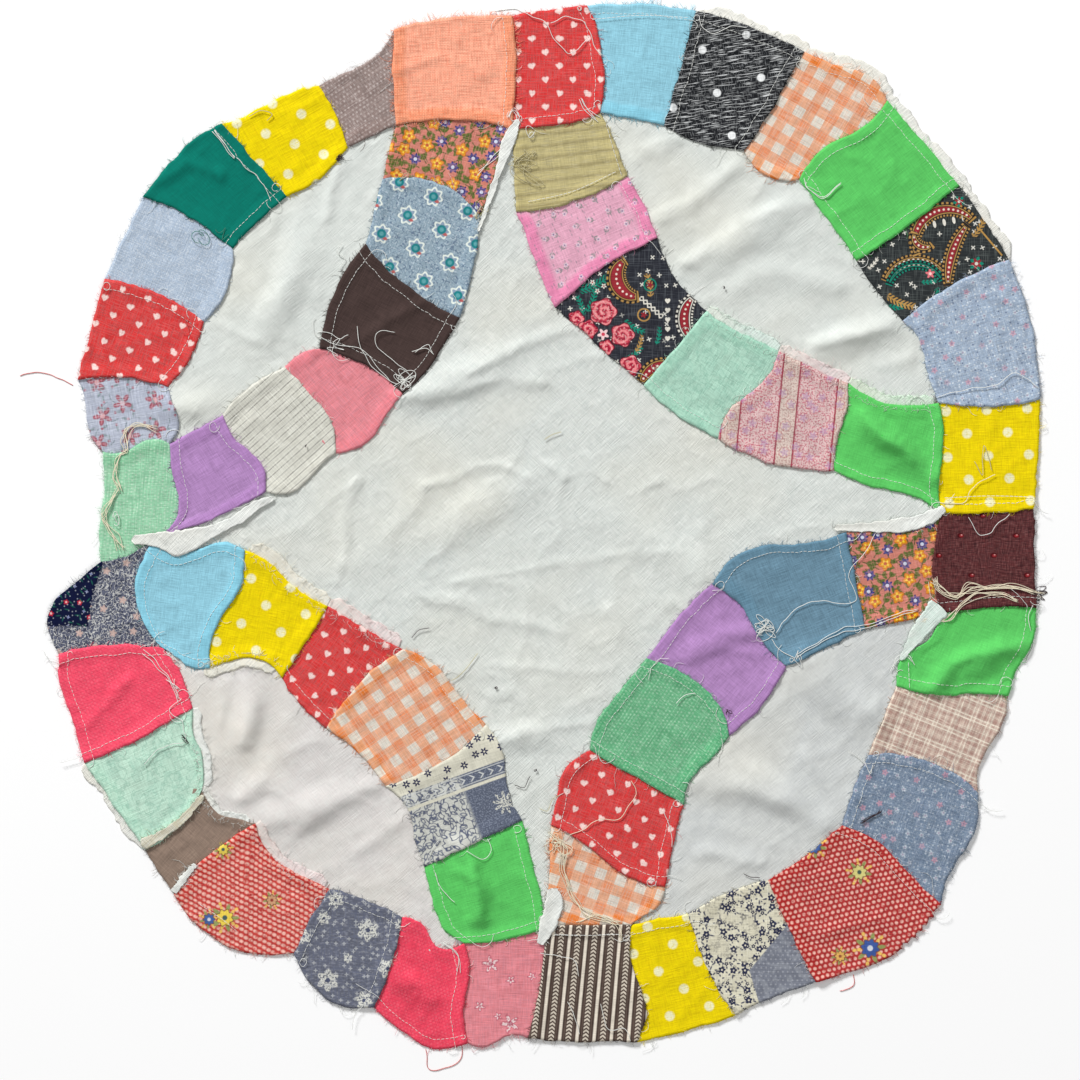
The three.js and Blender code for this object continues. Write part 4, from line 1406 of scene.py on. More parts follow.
def full_rose(cloth, x, y, size, petal_edges, specks):
    """A full rose with petals wound round its middle."""
    x, y = cloth.at(x, y)
    around = y.math("ARCTAN2", x)
    reach = far_from(x, y)
    edge_wave = (around * 5).math("COSINE") * (size * 0.1)
    inside = size * 0.9 + edge_wave - reach
    cloth.paint((inside + 0.5).ink(0.4), (86, 24, 38))
    cloth.paint(inside.ink(0.4), (196, 66, 84))
    swirl = (reach * 2.1 + around * 1.0 + petal_edges * 4.0).math("SINE")
    cloth.paint(swirl.above(0.0, 0.8) * inside.ink(0.4), (236, 140, 144))
    cloth.paint((-swirl).above(0.5, 1.0) * inside.ink(0.4), (150, 34, 56))
    cloth.paint(specks * inside.ink(0.4) * 0.6, (240, 186, 184))


def bloom(cloth, x, y, size, colour, centre):
    """A small open flower with five petals."""
    x, y = cloth.at(x, y, 40 * size)
    cloth.paint(petals(x, y, size, 5, 0.25).ink(0.4), colour)
    cloth.paint(disc(x, y, size * 0.3).ink(), centre)


def stars(cloth):
    """Small pale stars strewn over the ground."""
    x, y, draw, kind = cloth.scatter(6.4, 0.8, 2.2)
    x, y = spin(x, y, draw)
    arms = bar(x, y, 1.2, 0.25).either(bar(y, x, 1.2, 0.25))
    cloth.paint(arms.ink() * kind.above(0.3, 0.35), (226, 224, 214))


TEAL = (26, 134, 112)
OCHRE = (184, 144, 82)
PALE = (226, 222, 210)
RED = (154, 46, 54)


def rose_paisley():
    """Roses, leaves and curled bands on near black."""
    cloth = Cloth("rose_paisley", (40, 42, 50))
    cloth.cross_streaks((90, 94, 100), 0.45)
    stars(cloth)
    for x, y, turn, colour, size in (
        (-13, 18.5, 25, TEAL, 1.2),
        (-14.7, 10.4, 70, TEAL, 0.8),
        (-20.4, 8.5, 110, TEAL, 0.7),
        (6, -3, -30, TEAL, 0.8),
        (6.5, -16, 40, TEAL, 0.7),
        (9, -11, 70, OCHRE, 0.6),
        (14, 18.5, 100, OCHRE, 0.8),
        (18.5, -7, 80, TEAL, 0.6),
        (-26, -6, 60, OCHRE, 0.6),
    ):
        leafy(cloth, x, y, turn, colour, size)
    petal_edges = cloth.noise(2.2)
    specks = cloth.noise(1.2).above(0.55, 0.65)
    sash(cloth, 7.1, 22.6, 10, 200, 70, 3.6, OCHRE, RED)
    sash(cloth, 46, 1.6, 15, 180, 42, 2.9, PALE, RED)
    sash(cloth, 23, -35, 14, 122, 36, 2.6, OCHRE, RED)
    for x, y, size in (
        (-9.4, 5.1, 6.9),
        (0.2, -6.5, 6.0),
        (-22.9, 1.6, 4.0),
        (-17.2, -4, 5.0),
        (-7.9, -12.7, 3.8),
        (4, -22.1, 5.5),
    ):
        full_rose(cloth, x, y, size, petal_edges, specks)
    bloom(cloth, -9.4, -6.2, 3.0, (242, 208, 208), (206, 74, 92))
    for x, y in ((-14.8, 19.8), (-12.3, 15.4), (-9.1, 17.9)):
        bloom(cloth, x, y, 1.4, PALE, RED)
    x, y = cloth.at(14.6, 7.3, -42)
    links = y.size() - x.repeat(2.6).size() * 0.9
    cloth.paint(stripe(links, 0.4).ink() * stripe(x, 7.5).ink(0.4), PALE)
    for x, y, colour in ((14, 18.5, TEAL), (10.9, 3.5, OCHRE)):
        ring_x, ring_y = cloth.at(x, y)
        cloth.paint(ring(ring_x, ring_y, 3.0, 0.7).ink(), colour)
        cloth.paint(petals(ring_x, ring_y, 1.7, 5, 0.25).ink(), RED)
    x, y = cloth.at(22.8, 0.7)
    hearts = heart(x, y.repeat(4.7), 1.3)
    cloth.paint(hearts.ink() * stripe(y, 13).ink(0.4), PALE)
    cloth.finish(slub=0.05)


def paisley():
    """Curled bands, an arch and small flowers on near black."""
    cloth = Cloth("paisley", (42, 46, 48))
    cloth.cross_streaks((90, 96, 94), 0.5)
    stars(cloth)
    for x, y, turn, colour, size in (
        (-11.8, -31.8, 0, TEAL, 0.8),
        (-8, -29.6, -22, OCHRE, 1.0),
        (32, 8.3, 60, OCHRE, 0.8),
        (7, -19, 10, TEAL, 0.6),
        (-21.1, -9.9, 50, PALE, 0.5),
        (-22, 6, 70, TEAL, 0.8),
        (12, -27, -60, TEAL, 0.7),
    ):
        leafy(cloth, x, y, turn, colour, size)
    sash(cloth, 0.1, -24.9, 17.2, 95, 58, 1.1, OCHRE, (122, 82, 44))
    sash(cloth, 0.1, -24.9, 14.4, 95, 62, 0.9, TEAL, (16, 84, 74))
    sash(cloth, 61.3, -18.4, 45.4, 162.5, 19, 2.2, OCHRE, RED)
    sash(cloth, 15.8, 0.8, 16.5, 122, 76, 2.3, OCHRE, RED)
    sash(cloth, 4.5, 3.9, 5.6, 235, 62, 1.6, OCHRE, RED)
    x, y = cloth.at(14, 10.8, 12)
    drops = oval(x.repeat(4.9), y, 0.8, 1.8)
    cloth.paint(drops.ink() * stripe(x, 9.5).ink(0.4), PALE)
    for x, y, size in ((30.1, -9.9, 2.8), (21.4, 21.1, 2.2)):
        bloom(cloth, x, y, size + 0.8, TEAL, RED)
        bloom(cloth, x, y, size, RED, PALE)
    bloom(cloth, 7, -14.9, 2.4, (226, 120, 128), (250, 214, 206))
    x, y = cloth.at(37, 1, -50)
    cloth.paint(stripe(y, 0.4).ink() * stripe(x, 9).ink(0.4), OCHRE)
    cloth.finish(slub=0.05)


PLAIN = {
    # print or thread: colour, uneven threads, how much fuller and brighter an allowance is
    "light_blue": ((146, 202, 220), 0.08, (0.1, 0.04)),
    "bright_green": ((94, 200, 100), 0.05, (0.0, 0.05)),
    "brown": ((144, 124, 110), 0.1, (0.0, -0.06)),
    "teal": ((0, 118, 103), 0.05, (0.0, -0.02)),
    "slate": ((108, 142, 162), 0.12, (0.06, 0.0)),
    "purple": ((178, 137, 190), 0.09, (0.05, 0.0)),
    "dark_brown": ((72, 57, 54), 0.1, (0.0, -0.06)),
    "thread": ((234, 235, 230), 0.05, (0.03, 0.02)),
    "cream_thread": ((236, 226, 200), 0.05, (0.03, 0.02)),
    "red_thread": ((206, 96, 92), 0.05, (0.03, 0.02)),
    "dark_thread": ((62, 48, 52), 0.05, (0.03, 0.02)),
    "khaki_thread": ((196, 188, 150), 0.05, (0.03, 0.02)),
    "green_thread": ((74, 134, 116), 0.05, (0.03, 0.02)),
}
MUSLINS = {
    # muslin: colour, how much its threads show
    "muslin": ((215, 220, 215), 1.0),
    "fine_muslin": ((215, 220, 215), 0.45),
    "white_muslin": ((233, 235, 230), 1.0),
    "cream_muslin": ((233, 229, 214), 1.0),
    "pink_muslin": ((236, 216, 214), 1.0),
    "mint_muslin": ((214, 232, 222), 1.0),
    "gauze": ((240, 238, 230), 1.0),
    # A darker copy of fine_muslin: painted shade for the south-east melon, where less light falls
    "painted_shade_muslin": ((205, 208, 207), 0.45),
    "warm_muslin": ((219, 214, 211), 0.45),
    "green_muslin": ((208, 232, 208), 1.0),
    "khaki_muslin": ((203, 196, 170), 1.0),
}
SPRIGS = [(-2.6, 14, 4.0), (7.4, 6, 2.0), (-8, -7, 2.2), (7, -15.7, 4.4), (18, 8, 1.8), (1, -12, 1.6)]
NOSEGAYS_SE = [
    # x, y, colour, centre, radius
    (3, -20, (66, 92, 160), (214, 218, 226), 4.6),
    (-2.4, 18, (214, 206, 130), (72, 92, 82), 3.6),
    (-25, 31, (70, 96, 150), (214, 218, 226), 3.6),
    (-12, -24, (226, 178, 96), (150, 84, 60), 2.6),
]
NOSEGAYS_SW = [
    (-9.5, -14.8, (236, 208, 84), (74, 98, 96), 4.2),
    (-17.4, -15.6, (70, 100, 160), (214, 218, 226), 2.8),
    (-10.3, 19.4, (228, 206, 96), (74, 98, 96), 2.8),
    (14, -6, (206, 158, 120), (150, 60, 52), 2.6),
]
for title, (colour, slub, band) in PLAIN.items():
    Cloth(title, colour).finish(slub, band)
for title, (colour, woven) in MUSLINS.items():
    muslin(title, colour, woven)
for make_print in (
    slub_peach, striped_khaki, white_ticking, yellow_dots, black_dots, red_hearts, gingham, plaid,
    brown_stripe, maroon_beads, pink_stripe, salmon_floral, ring_floral, pink_floral, pale_blue,
    grey_blue, cream_navy, navy_print, navy_grey, navy_floral, rose_paisley, paisley,
):
    make_print()
dobby("hot_pink", (240, 72, 96))
dobby("crimson", (246, 80, 106))
pin_dots("grey_brown", (144, 126, 121), (214, 202, 198), 2.2, 2.0, 0.5, 0.6)
pin_dots("green_dots", (146, 204, 166), (212, 234, 212), 1.9, 1.7, 0.42, 0.55)
pin_dots("green_dots_dark", (102, 174, 128), (190, 226, 196), 1.9, 1.7, 0.42, 0.55)
blue_floral("blue_floral", (164, 182, 204), 1.0)
blue_floral("blue_floral_deep", (112, 130, 152), 0.6)
mint("mint", (176, 215, 195))
mint("mint_light", (195, 228, 208))
rose("rose", [])
rose("rose_sprigs", SPRIGS)
red_dots("red_lattice_se", (182, 56, 55), 0.79, 1.0, 14, NOSEGAYS_SE)
red_dots("red_lattice_sw", (204, 70, 64), 0.76, 1.45, -28, NOSEGAYS_SW)

# ---------------------------------------------------------------------------------------------
# The pieces


def stops(length, low, high, cell):
    """Even shares from low to high, about one cell apart."""
    return np.linspace(low, high, max(int(round(length * (high - low) / cell)), 4) + 1)


def cloth_places(x, y, angle, band):
    """The cloth's own coordinates: its grain turned, and where a raised raw edge is."""
    along = x * math.cos(angle) + y * math.sin(angle)
    across = y * math.cos(angle) - x * math.sin(angle)
    return np.stack([along, across, band], -1)


def cell_heights(cell, u, v, over, lies_on_nothing):
    """Places on a piece's upper side, and how much each is part of a raised raw edge."""
    place = cell.at(u, v)
    x = place[..., 0]
    y = place[..., 1]
    height, band = layer_heights(cell, u, v, x, y, over, lies_on_nothing)
    return np.stack([x, y, height + ground(x, y)], -1), band


def mitred(cell, u, v):
    """Draws in the ends of the flaps that lie under the neighbours, so that none looks out."""
    width = cell.width(np.clip(v, 0, 1))
    depth = cell.depth(np.clip(u, 0, 1))
    beyond_u = np.maximum(np.maximum(-u, u - 1), 0) * width
    beyond_v = np.maximum(np.maximum(-v, v - 1), 0) * depth
    drawn_u = 0.5 + (u - 0.5) * (1 - np.minimum(2 * beyond_v / width, 0.8))
    drawn_v = 0.5 + (v - 0.5) * (1 - np.minimum(2 * beyond_u / depth, 0.8))
    return drawn_u, drawn_v


def folded_over(name, x, y):
    """1 where a corner of a piece is folded back, so that its right side shows, and 0 elsewhere."""
    if name != "navy_floral_west":
        return np.zeros_like(x)
    line_x, line_y = np.array(FOLDED_CORNER).T
    return smooth(-0.6, 0.6, np.interp(y, line_y, line_x) - x) * smooth(-49.8, -48.4, y)


def make_piece(name, cell, print_name, over, nodes, lies_on_nothing=""):
    """Cuts one printed piece, tucks it under its neighbours, frays its raw edges and stitches it."""
    near_ends = np.array([0.2, 0.8])
    width = float(np.mean(cell.width(near_ends)))
    depth = float(np.mean(cell.depth(near_ends)))
    reach = {side: 0 if side in over.lower() else TUCK for side in "nflr"}
    u = stops(width, -reach["l"] / width, 1 + reach["r"] / width, CELL)
    v = stops(depth, -reach["n"] / depth, 1 + reach["f"] / depth, CELL)
    grid_u, grid_v = mitred(cell, *np.meshgrid(u, v, indexing="ij"))
    top, band = cell_heights(cell, grid_u, grid_v, over, lies_on_nothing)
    ends = cell.at(np.array([0.0, 1.0]), np.array([0.5, 0.5]))
    own_turn = math.degrees(math.atan2(ends[1, 1] - ends[0, 1], ends[1, 0] - ends[0, 0]))
    turn, *origin = GRAIN.get(name, (own_turn, *cell.at(0.5, 0.5)))
    angle = math.radians(turn)
    cloth = cloth_places(top[..., 0] - origin[0], top[..., 1] - origin[1], angle, band)
    folded = folded_over(name, top[..., 0], top[..., 1])
    top[..., 2] += FOLDED_RISE * folded
    solid = Solid()
    area = add_cloth(solid, top, cloth, folded=folded)
    density = FRINGED.get(name, 1.0)
    for side in over.lower():
        fray(solid, cell, side, side in lies_on_nothing, origin, angle, density)
    piece = solid.build(name, MATERIALS[print_name])
    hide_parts(*nodes)
    for side in over:
        if side.isupper():
            sew(cell, side.lower(), over, lies_on_nothing)


def side_places(side, t, inside, cell):
    """Where a place lies that is part way along a side and some way inside it."""
    if side in "lr":
        share = inside / cell.width(np.clip(t, 0, 1))
        return (share if side == "l" else 1 - share), t
    share = inside / cell.depth(np.clip(t, 0, 1))
    return t, (share if side == "n" else 1 - share)


def side_length(side, cell):
    """The length of one side of a piece, given by its letter."""
    line = {"n": cell.near, "f": cell.far, "l": cell.left, "r": cell.right}[side]
    return path_length(line(np.linspace(0, 1, 9)))


def strays(starts, ways, lengths, points, curl):
    """Threads that wander off from where they start, each on its own bend."""
    count = len(starts)
    bend = RNG.normal(0, curl, (count, 1)) + RNG.normal(0, curl * 0.6, (count, points - 1))
    turns = ways[:, None] + np.cumsum(bend, axis=1)
    steps = np.stack([np.cos(turns), np.sin(turns)], -1) * (lengths / (points - 1))[:, None, None]
    return starts[:, None] + np.concatenate([np.zeros((count, 1, 2)), np.cumsum(steps, axis=1)], axis=1)


def edge_starts(cell, side, count, inside):
    """Places along a side of a piece, and the way out from it at each."""
    t = np.sort(RNG.uniform(0.01, 0.99, count))
    from_here = cell.at(*side_places(side, t, inside + 0.4, cell))
    to_there = cell.at(*side_places(side, t, inside, cell))
    out = to_there - from_here
    return to_there, np.arctan2(out[:, 1], out[:, 0])


def stray_paths(places, start_height, end_height):
    """Lays wandering threads down from one height above the ground to another."""
    down = np.linspace(0, 1, places.shape[1]) ** 0.6
    height = start_height + (end_height - start_height) * down
    return np.concatenate([places, (ground(places[..., 0], places[..., 1]) + height)[..., None]], -1)


def fray(solid, cell, side, lies_on_nothing, origin, angle, density):
    """Short loose threads along a raw edge, in the piece's own colours, and a few longer pale ones."""
    length = side_length(side, cell)
    edge_height = REST - 0.12 + (0 if lies_on_nothing else BAND_RISE)
    low = 0.1 if lies_on_nothing else REST + 0.12
    count = int(length / FRAY_SPACING * density)
    starts, ways = edge_starts(cell, side, count, 0.5)
    ways = ways + RNG.normal(0, 0.5, count)
    lengths = (RNG.gamma(2.2, 0.5, count) + 0.9) * density
    paths = stray_paths(strays(starts, ways, lengths, 4, 0.35), edge_height, low)
    cloth = cloth_places(starts[:, 0] - origin[0], starts[:, 1] - origin[1], angle, np.full(count, 0.3))
    add_threads(solid, paths, FRAY_RADIUS, cloth, 3)
    count = int(length / LINT_SPACING)
    starts, ways = edge_starts(cell, side, count, 0.5)
    ways = ways + RNG.normal(0, 0.9, count)
    lengths = RNG.gamma(2.0, 1.6, count) + 2
    paths = stray_paths(strays(starts, ways, lengths, 8, 0.4), edge_height + 0.25, low + 0.1)
    add_threads(LINT, paths, LINT_RADIUS, np.zeros((count, 3)), 3)


STITCHES = Solid()
LINT = Solid()
EDGINGS = {}  # the pieces on the edges of each muslin part


def sew(cell, side, over, lies_on_nothing):
    """A row of machine stitches inside a raw edge, with the thread's ends left long."""
    length = side_length(side, cell)
    margin = 0.8 / length
    t = np.linspace(margin, 1 - margin, int(length / STITCH_PITCH))[:, None]
    along = t[:-1] + (t[1:] - t[:-1]) * STITCH
    wander = ALLOWANCE - 0.6 + 0.4 * noise(along * length, 0 * along, 14, len(STITCHES.points))
    u, v = side_places(side, along, wander, cell)
    paths, _ = cell_heights(cell, u, v, over, lies_on_nothing)
    paths[..., 2] += STITCH_HEIGHTS
    add_threads(STITCHES, paths, STITCH_RADIUS, np.zeros((len(paths), 3)), 4)
    ends = paths[[0, -1], [0, -1]]
    out = ends - paths[[0, -1], [-1, 0]]
    ways = np.arctan2(out[:, 1], out[:, 0]) + RNG.normal(0, 0.5, 2)
    lengths = RNG.uniform(3, 15, 2)
    places = strays(ends[:, :2], ways, lengths, 14, 0.3)
    tails = stray_paths(places, ON_BAND + 0.15, ON_BAND + 0.2)
    add_threads(STITCHES, tails, TAIL_RADIUS, np.zeros((2, 3)), 4)


def build_arcs():
    """The pieces of the outer and inner arcs, quarter by quarter."""
    for quarter, first in FIRST_SEAM.items():
        for number, (title, print_name, over) in enumerate(OUTER_PIECES[quarter]):
            cell = outer_cell(first + number)
            name = f"{title}_outer_{quarter}"
            on_remnant = any(start <= first + number < end for _, start, end, _ in REMNANTS)
            rim = "" if on_remnant else "f"
            make_piece(name, cell, print_name, over, [f"outer_arc_{quarter}"], rim)
        seams, melon_side, centre_side = inner_lines(quarter)
        for number, (title, print_name, over) in enumerate(INNER_PIECES[quarter]):
            cell = Cell(melon_side[number], centre_side[number], seams[number], seams[number + 1])
            name = f"{title}_inner_{quarter}"
            make_piece(name, cell, print_name, over, [f"inner_arc_{quarter}"])


def build_ends():
    """The eight squares between the arcs' ends."""
    for title, node, print_name, over, first in END_PIECES:
        make_piece(title, outer_cell(first), print_name, over, [node], "f")


def muslin_piece(name, place, inside, node, angle, size=None, material="muslin", settled=0.0):
    """One muslin piece: it tucks under everything round it, and puckers along its seams."""
    x = place[..., 0]
    y = place[..., 1]
    pucker = np.exp(-np.clip(inside, 0, None) / 9) * np.clip(noise(x, y, 4.5, 31), 0, 1)
    height = ground(x, y) * (1 - settled) + REST - 0.02 + 0.5 * pucker * smooth(-1, 3, inside)
    top = np.stack([x, y, height], -1)
    middle = place[place.shape[0] // 2, place.shape[1] // 2]
    cloth = cloth_places(x - middle[0], y - middle[1], angle, np.zeros_like(x))
    solid = Solid()
    area = add_cloth(solid, top, cloth)
    piece = solid.build(name, MATERIALS[material])
    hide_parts(node)
    if size is None:
        size = (float(np.ptp(cloth[..., 0])), float(np.ptp(cloth[..., 1])))


def spread(line, outward):
    """A line moved out under the neighbours, but not at its ends, where the seams meet."""

    def at(t):
        t = np.asarray(t, float)
        step = 0.03
        way = unit(line(np.clip(t + step, 0, 1)) - line(np.clip(t - step, 0, 1)))
        ends = smooth(0, 0.06, np.minimum(t, 1 - t)) * TUCK * outward
        return line(t) + left_of(way) * ends[..., None]

    return at


# The south-east melon takes the darker muslin as painted shade, where less light falls
MELON_TINTS = {"ne": "fine_muslin", "se": "painted_shade_muslin", "sw": "warm_muslin", "nw": "fine_muslin"}


def build_melons():
    """The white cloth between the two arcs of each quarter."""
    for quarter, first in FIRST_SEAM.items():
        outside = chain([root_edge(first + number) for number in range(WEDGES)])
        inside_line = chain(inner_lines(quarter)[1])
        far = spread(outside, 1)
        near = spread(inside_line, -1)
        u = np.linspace(0.012, 0.988, MELON_POINTS[0])
        v = np.linspace(0, 1, MELON_POINTS[1])
        grid_u, grid_v = np.meshgrid(u, v, indexing="ij")
        place = near(grid_u) * (1 - grid_v[..., None]) + far(grid_u) * grid_v[..., None]
        gap = np.linalg.norm(far(grid_u) - near(grid_u), axis=-1)
        inside = np.minimum(grid_v, 1 - grid_v) * gap - TUCK
        name = f"melon_cloth_{quarter}"
        muslin_piece(name, place, inside, f"melon_{quarter}", math.radians(40), None, MELON_TINTS[quarter])


def relax(grid, passes):
    """Evens out the inside of a grid, so that the bends of its border stay near the border."""
    for _ in range(passes):
        around = grid[:-2, 1:-1] + grid[2:, 1:-1] + grid[1:-1, :-2] + grid[1:-1, 2:]
        grid[1:-1, 1:-1] = around / 4
    return grid


def build_centre():
    """The white star between the four inner arcs."""
    sides = {quarter: chain(inner_lines(quarter)[2]) for quarter in FIRST_SEAM}
    near = spread(sides["ne"], 1)
    far = spread(reverse(sides["sw"]), -1)
    left = spread(reverse(sides["nw"]), -1)
    right = spread(sides["se"], 1)
    cell = Cell(near, far, left, right)
    u = np.linspace(0, 1, CENTRE_POINTS)
    grid_u, grid_v = np.meshgrid(u, u, indexing="ij")
    place = relax(cell.at(grid_u, grid_v), CENTRE_PASSES)
    from_sides = np.minimum(grid_u, 1 - grid_u) * cell.width(grid_v)
    from_ends = np.minimum(grid_v, 1 - grid_v) * cell.depth(grid_u)
    inside = np.minimum(from_sides, from_ends) - TUCK
    muslin_piece("centre_cloth", place, inside, "centre", math.radians(45))


def build_remnants():
    """Strips of a neighbouring ring's muslin, torn off but for their allowance."""
    for quarter, from_seam, to_seam, width in REMNANTS:
        wedges = to_seam - from_seam
        rim = chain([rim_edge(index) for index in range(from_seam, to_seam)])
        u = np.linspace(0, 1, RIM_STATIONS * wedges + 1)
        v = np.linspace(0, 1, 10)
        grid_u, grid_v = np.meshgrid(u, v, indexing="ij")
        step = 0.01
        way = unit(rim(np.clip(grid_u + step, 0, 1)) - rim(np.clip(grid_u - step, 0, 1)))
        far = grid_u * RIM_STATIONS * wedges
        ragged = 1.5 * noise(far, 0 * far, 9, 77) + 1.0 * noise(far, 0 * far, 2.2, 78)
        reach = (width + ragged) * smooth(-0.02, 0.05, np.minimum(grid_u, 1 - grid_u))
        out = -HEM * (1 - grid_v) + reach * grid_v
        place = rim(grid_u) + left_of(way) * out[..., None]
        size = (path_length(place[:, 5]) * 1.02, width + HEM + 1)
        name = f"remnant_cloth_{quarter}"
        settled = smooth(-1, 2.5, out)
        inside = np.full_like(out, DEEP_INSIDE)
        muslin_piece(name, place, inside, f"remnant_{quarter}", 0.7, size, "gauze", settled)


STRIPS = [
    # piece, quarter, seam line, from and to along it in pieces, width, muslin
    ("cream_allowance_centre", "sw", "centre", 4.0, 4.95, 6.0, "cream_muslin"),
    ("pink_allowance_centre", "sw", "centre", 3.05, 4.0, 6.0, "pink_muslin"),
    ("mint_allowance_melon", "ne", "melon", 3.0, 4.0, 4.6, "mint_muslin"),
    ("pink_allowance_melon", "ne", "melon", 4.0, 5.0, 4.6, "pink_muslin"),
    ("green_allowance_melon", "ne", "melon", 5.0, 5.96, 4.6, "green_muslin"),
    ("cream_allowance_melon", "sw", "melon", 4.1, 5.1, 4.6, "cream_muslin"),
    ("white_allowance_mint", "sw", "outer", 4.05, 5.0, 4.4, "white_muslin"),
    ("white_allowance_brown", "sw", "outer", 3.1, 4.05, 2.8, "white_muslin"),
    ("pink_allowance_red", "sw", "outer", 2.05, 3.0, 4.6, "pink_muslin"),
]


def build_strips():
    """Muslin allowances on a printed piece's own, whose colour they take on a little."""
    for name, quarter, side, start, end, width, material in STRIPS:
        first = FIRST_SEAM[quarter]
        lines = {
            "outer": [root_edge(first + number) for number in range(WEDGES)],
            "melon": inner_lines(quarter)[1],
            "centre": inner_lines(quarter)[2],
        }
        line = chain(lines[side])
        outward = {"outer": -1, "melon": 1, "centre": -1}[side]
        u = np.linspace(start / WEDGES, end / WEDGES, STRIP_POINTS[0])
        grid_u, share = np.meshgrid(u, np.linspace(0, 1, STRIP_POINTS[1]), indexing="ij")
        way = unit(line(grid_u + 0.01) - line(grid_u - 0.01))
        far = (grid_u - u[0]) * ARC_LENGTH
        ragged = 0.5 * noise(far, 0 * far, 5, 91) + 0.4 * noise(far, 0 * far, 1.8, 92)
        ends = smooth(0, 0.08, np.minimum(grid_u - u[0], u[-1] - grid_u) * WEDGES)
        out = -STRIP_HEM * (1 - share) + (width * (0.6 + 0.4 * ends) + ragged) * share
        place = line(grid_u) + left_of(way) * (out * outward)[..., None]
        height = REST + 0.18 + 0.2 * smooth(0.3, 0.6, share)
        node = "centre" if side == "centre" else f"melon_{quarter}"
        lay_strip(name, place, height, material, node)


TABS = [
    # piece, CAD node, muslin, then x, y and half width at each of its places
    (
        "north_tip", "centre", "white_muslin", (-13, 204, 1.2), (-17, 195, 3), (-20, 186, 2.6),
        (-25, 171, 1.3), (-29, 159, 1.0), (-33, 148, 0.8),
    ),
    (
        "west_tip", "centre", "white_muslin", (-206, -6, 2), (-192, -6, 4), (-183, -7.5, 6.5),
        (-173, -4.5, 4.5), (-162, 0, 3), (-152, 5, 2.5), (-144, 11, 2.5), (-135, 15, 1.5),
    ),
    (
        "east_tip", "centre", "white_muslin", (145, 0, 1.5), (165, 0.5, 2.6), (183, 2, 3.6), (194, 6, 3),
        (200, 10, 2),
    ),
    (
        "south_tip", "centre", "white_muslin", (4, -180, 2.5), (5, -188, 4.5), (2, -198, 4),
        (-2, -208, 1.8),
    ),
    (
        "south_east_tip", "melon_se", "mint_muslin", (178, -66, 0.8), (184, -57, 3), (190, -48.5, 4.5),
        (198, -39, 5.5),
    ),
    (
        "cream_edge_mint", "melon_sw", "khaki_muslin", (-201, -158.5, 2.6), (-190, -152.5, 2.2),
        (-181, -146, 1.8), (-170, -133.5, 1.4),
    ),
    (
        "white_edge_brown", "melon_sw", "white_muslin", (-185, -182, 1.8), (-180, -175, 1.8),
        (-174, -168, 1.2),
    ),
]


def curve_through(places, count):
    """A smooth curve through places, whatever columns they have."""
    places = np.array(places, float)
    padded = np.concatenate([2 * places[:1] - places[1:2], places, 2 * places[-1:] - places[-2:-1]])
    t = np.linspace(0, len(places) - 1, count)
    index = np.minimum(t.astype(int), len(places) - 2)
    s = (t - index)[:, None]
    before, start, end, after = (padded[index + k] for k in range(4))
    bend = 2 * before - 5 * start + 4 * end - after
    twist = 3 * start - before - 3 * end + after
    return start + 0.5 * s * (end - before + s * (bend + s * twist))


def build_tabs():
    """The centre's and melons' tips and allowances, where they were folded back on the patchwork."""
    for name, node, material, *places in TABS:
        path = curve_through(places, TAB_POINTS[0])
        way = unit(np.gradient(path[:, :2], axis=0))
        side = np.linspace(-1, 1, TAB_POINTS[1])
        t = np.linspace(0, 1, TAB_POINTS[0])[:, None]
        border = np.sign(side)
        ragged = 0.55 * noise(40 * t, border, 2.2, len(name)) + 0.3 * noise(90 * t, border, 1.5, 7)
        ends = smooth(-0.01, 0.02, t) * smooth(-0.01, 0.02, 1 - t)
        half = (path[:, 2:] + ragged) * ends
        place = path[:, None, :2] + left_of(way)[:, None] * (half * side)[..., None]
        x = place[..., 0]
        y = place[..., 1]
        height = ON_BAND + 0.6 + 0.35 * (1 - side**2) * noise(x, y, 5, 61)
        lay_strip(name, place, height, material, node)


def lay_strip(name, place, height, material, node):
    """A narrow edge of the centre's or a melon's muslin, with short threads all round it."""
    x = place[..., 0]
    y = place[..., 1]
    height = height + 0.1 * noise(x, y, 3.5, 62)
    top = np.stack([x, y, ground(x, y) + height], -1)
    cloth = cloth_places(x - x.mean(), y - y.mean(), math.radians(45), np.zeros_like(x))
    solid = Solid()
    add_cloth(solid, top, cloth, 0.2)
    rim = np.concatenate([place[:, 0], place[:, -1]])
    start = rim[RNG.integers(0, len(rim), len(rim) * 4 // 5)]
    ways = RNG.uniform(0, ANY_WAY, len(start))
    lengths = RNG.gamma(2, 0.8, len(start)) + 0.8
    paths = stray_paths(strays(start, ways, lengths, 5, 0.4), ON_BAND + 0.1, ON_BAND + 0.15)
    add_threads(solid, paths, TRIM_RADIUS, np.zeros((len(start), 3)), 3)
    piece = solid.build(name, MATERIALS[material])
    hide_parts(node)
    EDGINGS.setdefault(node, []).append(piece)


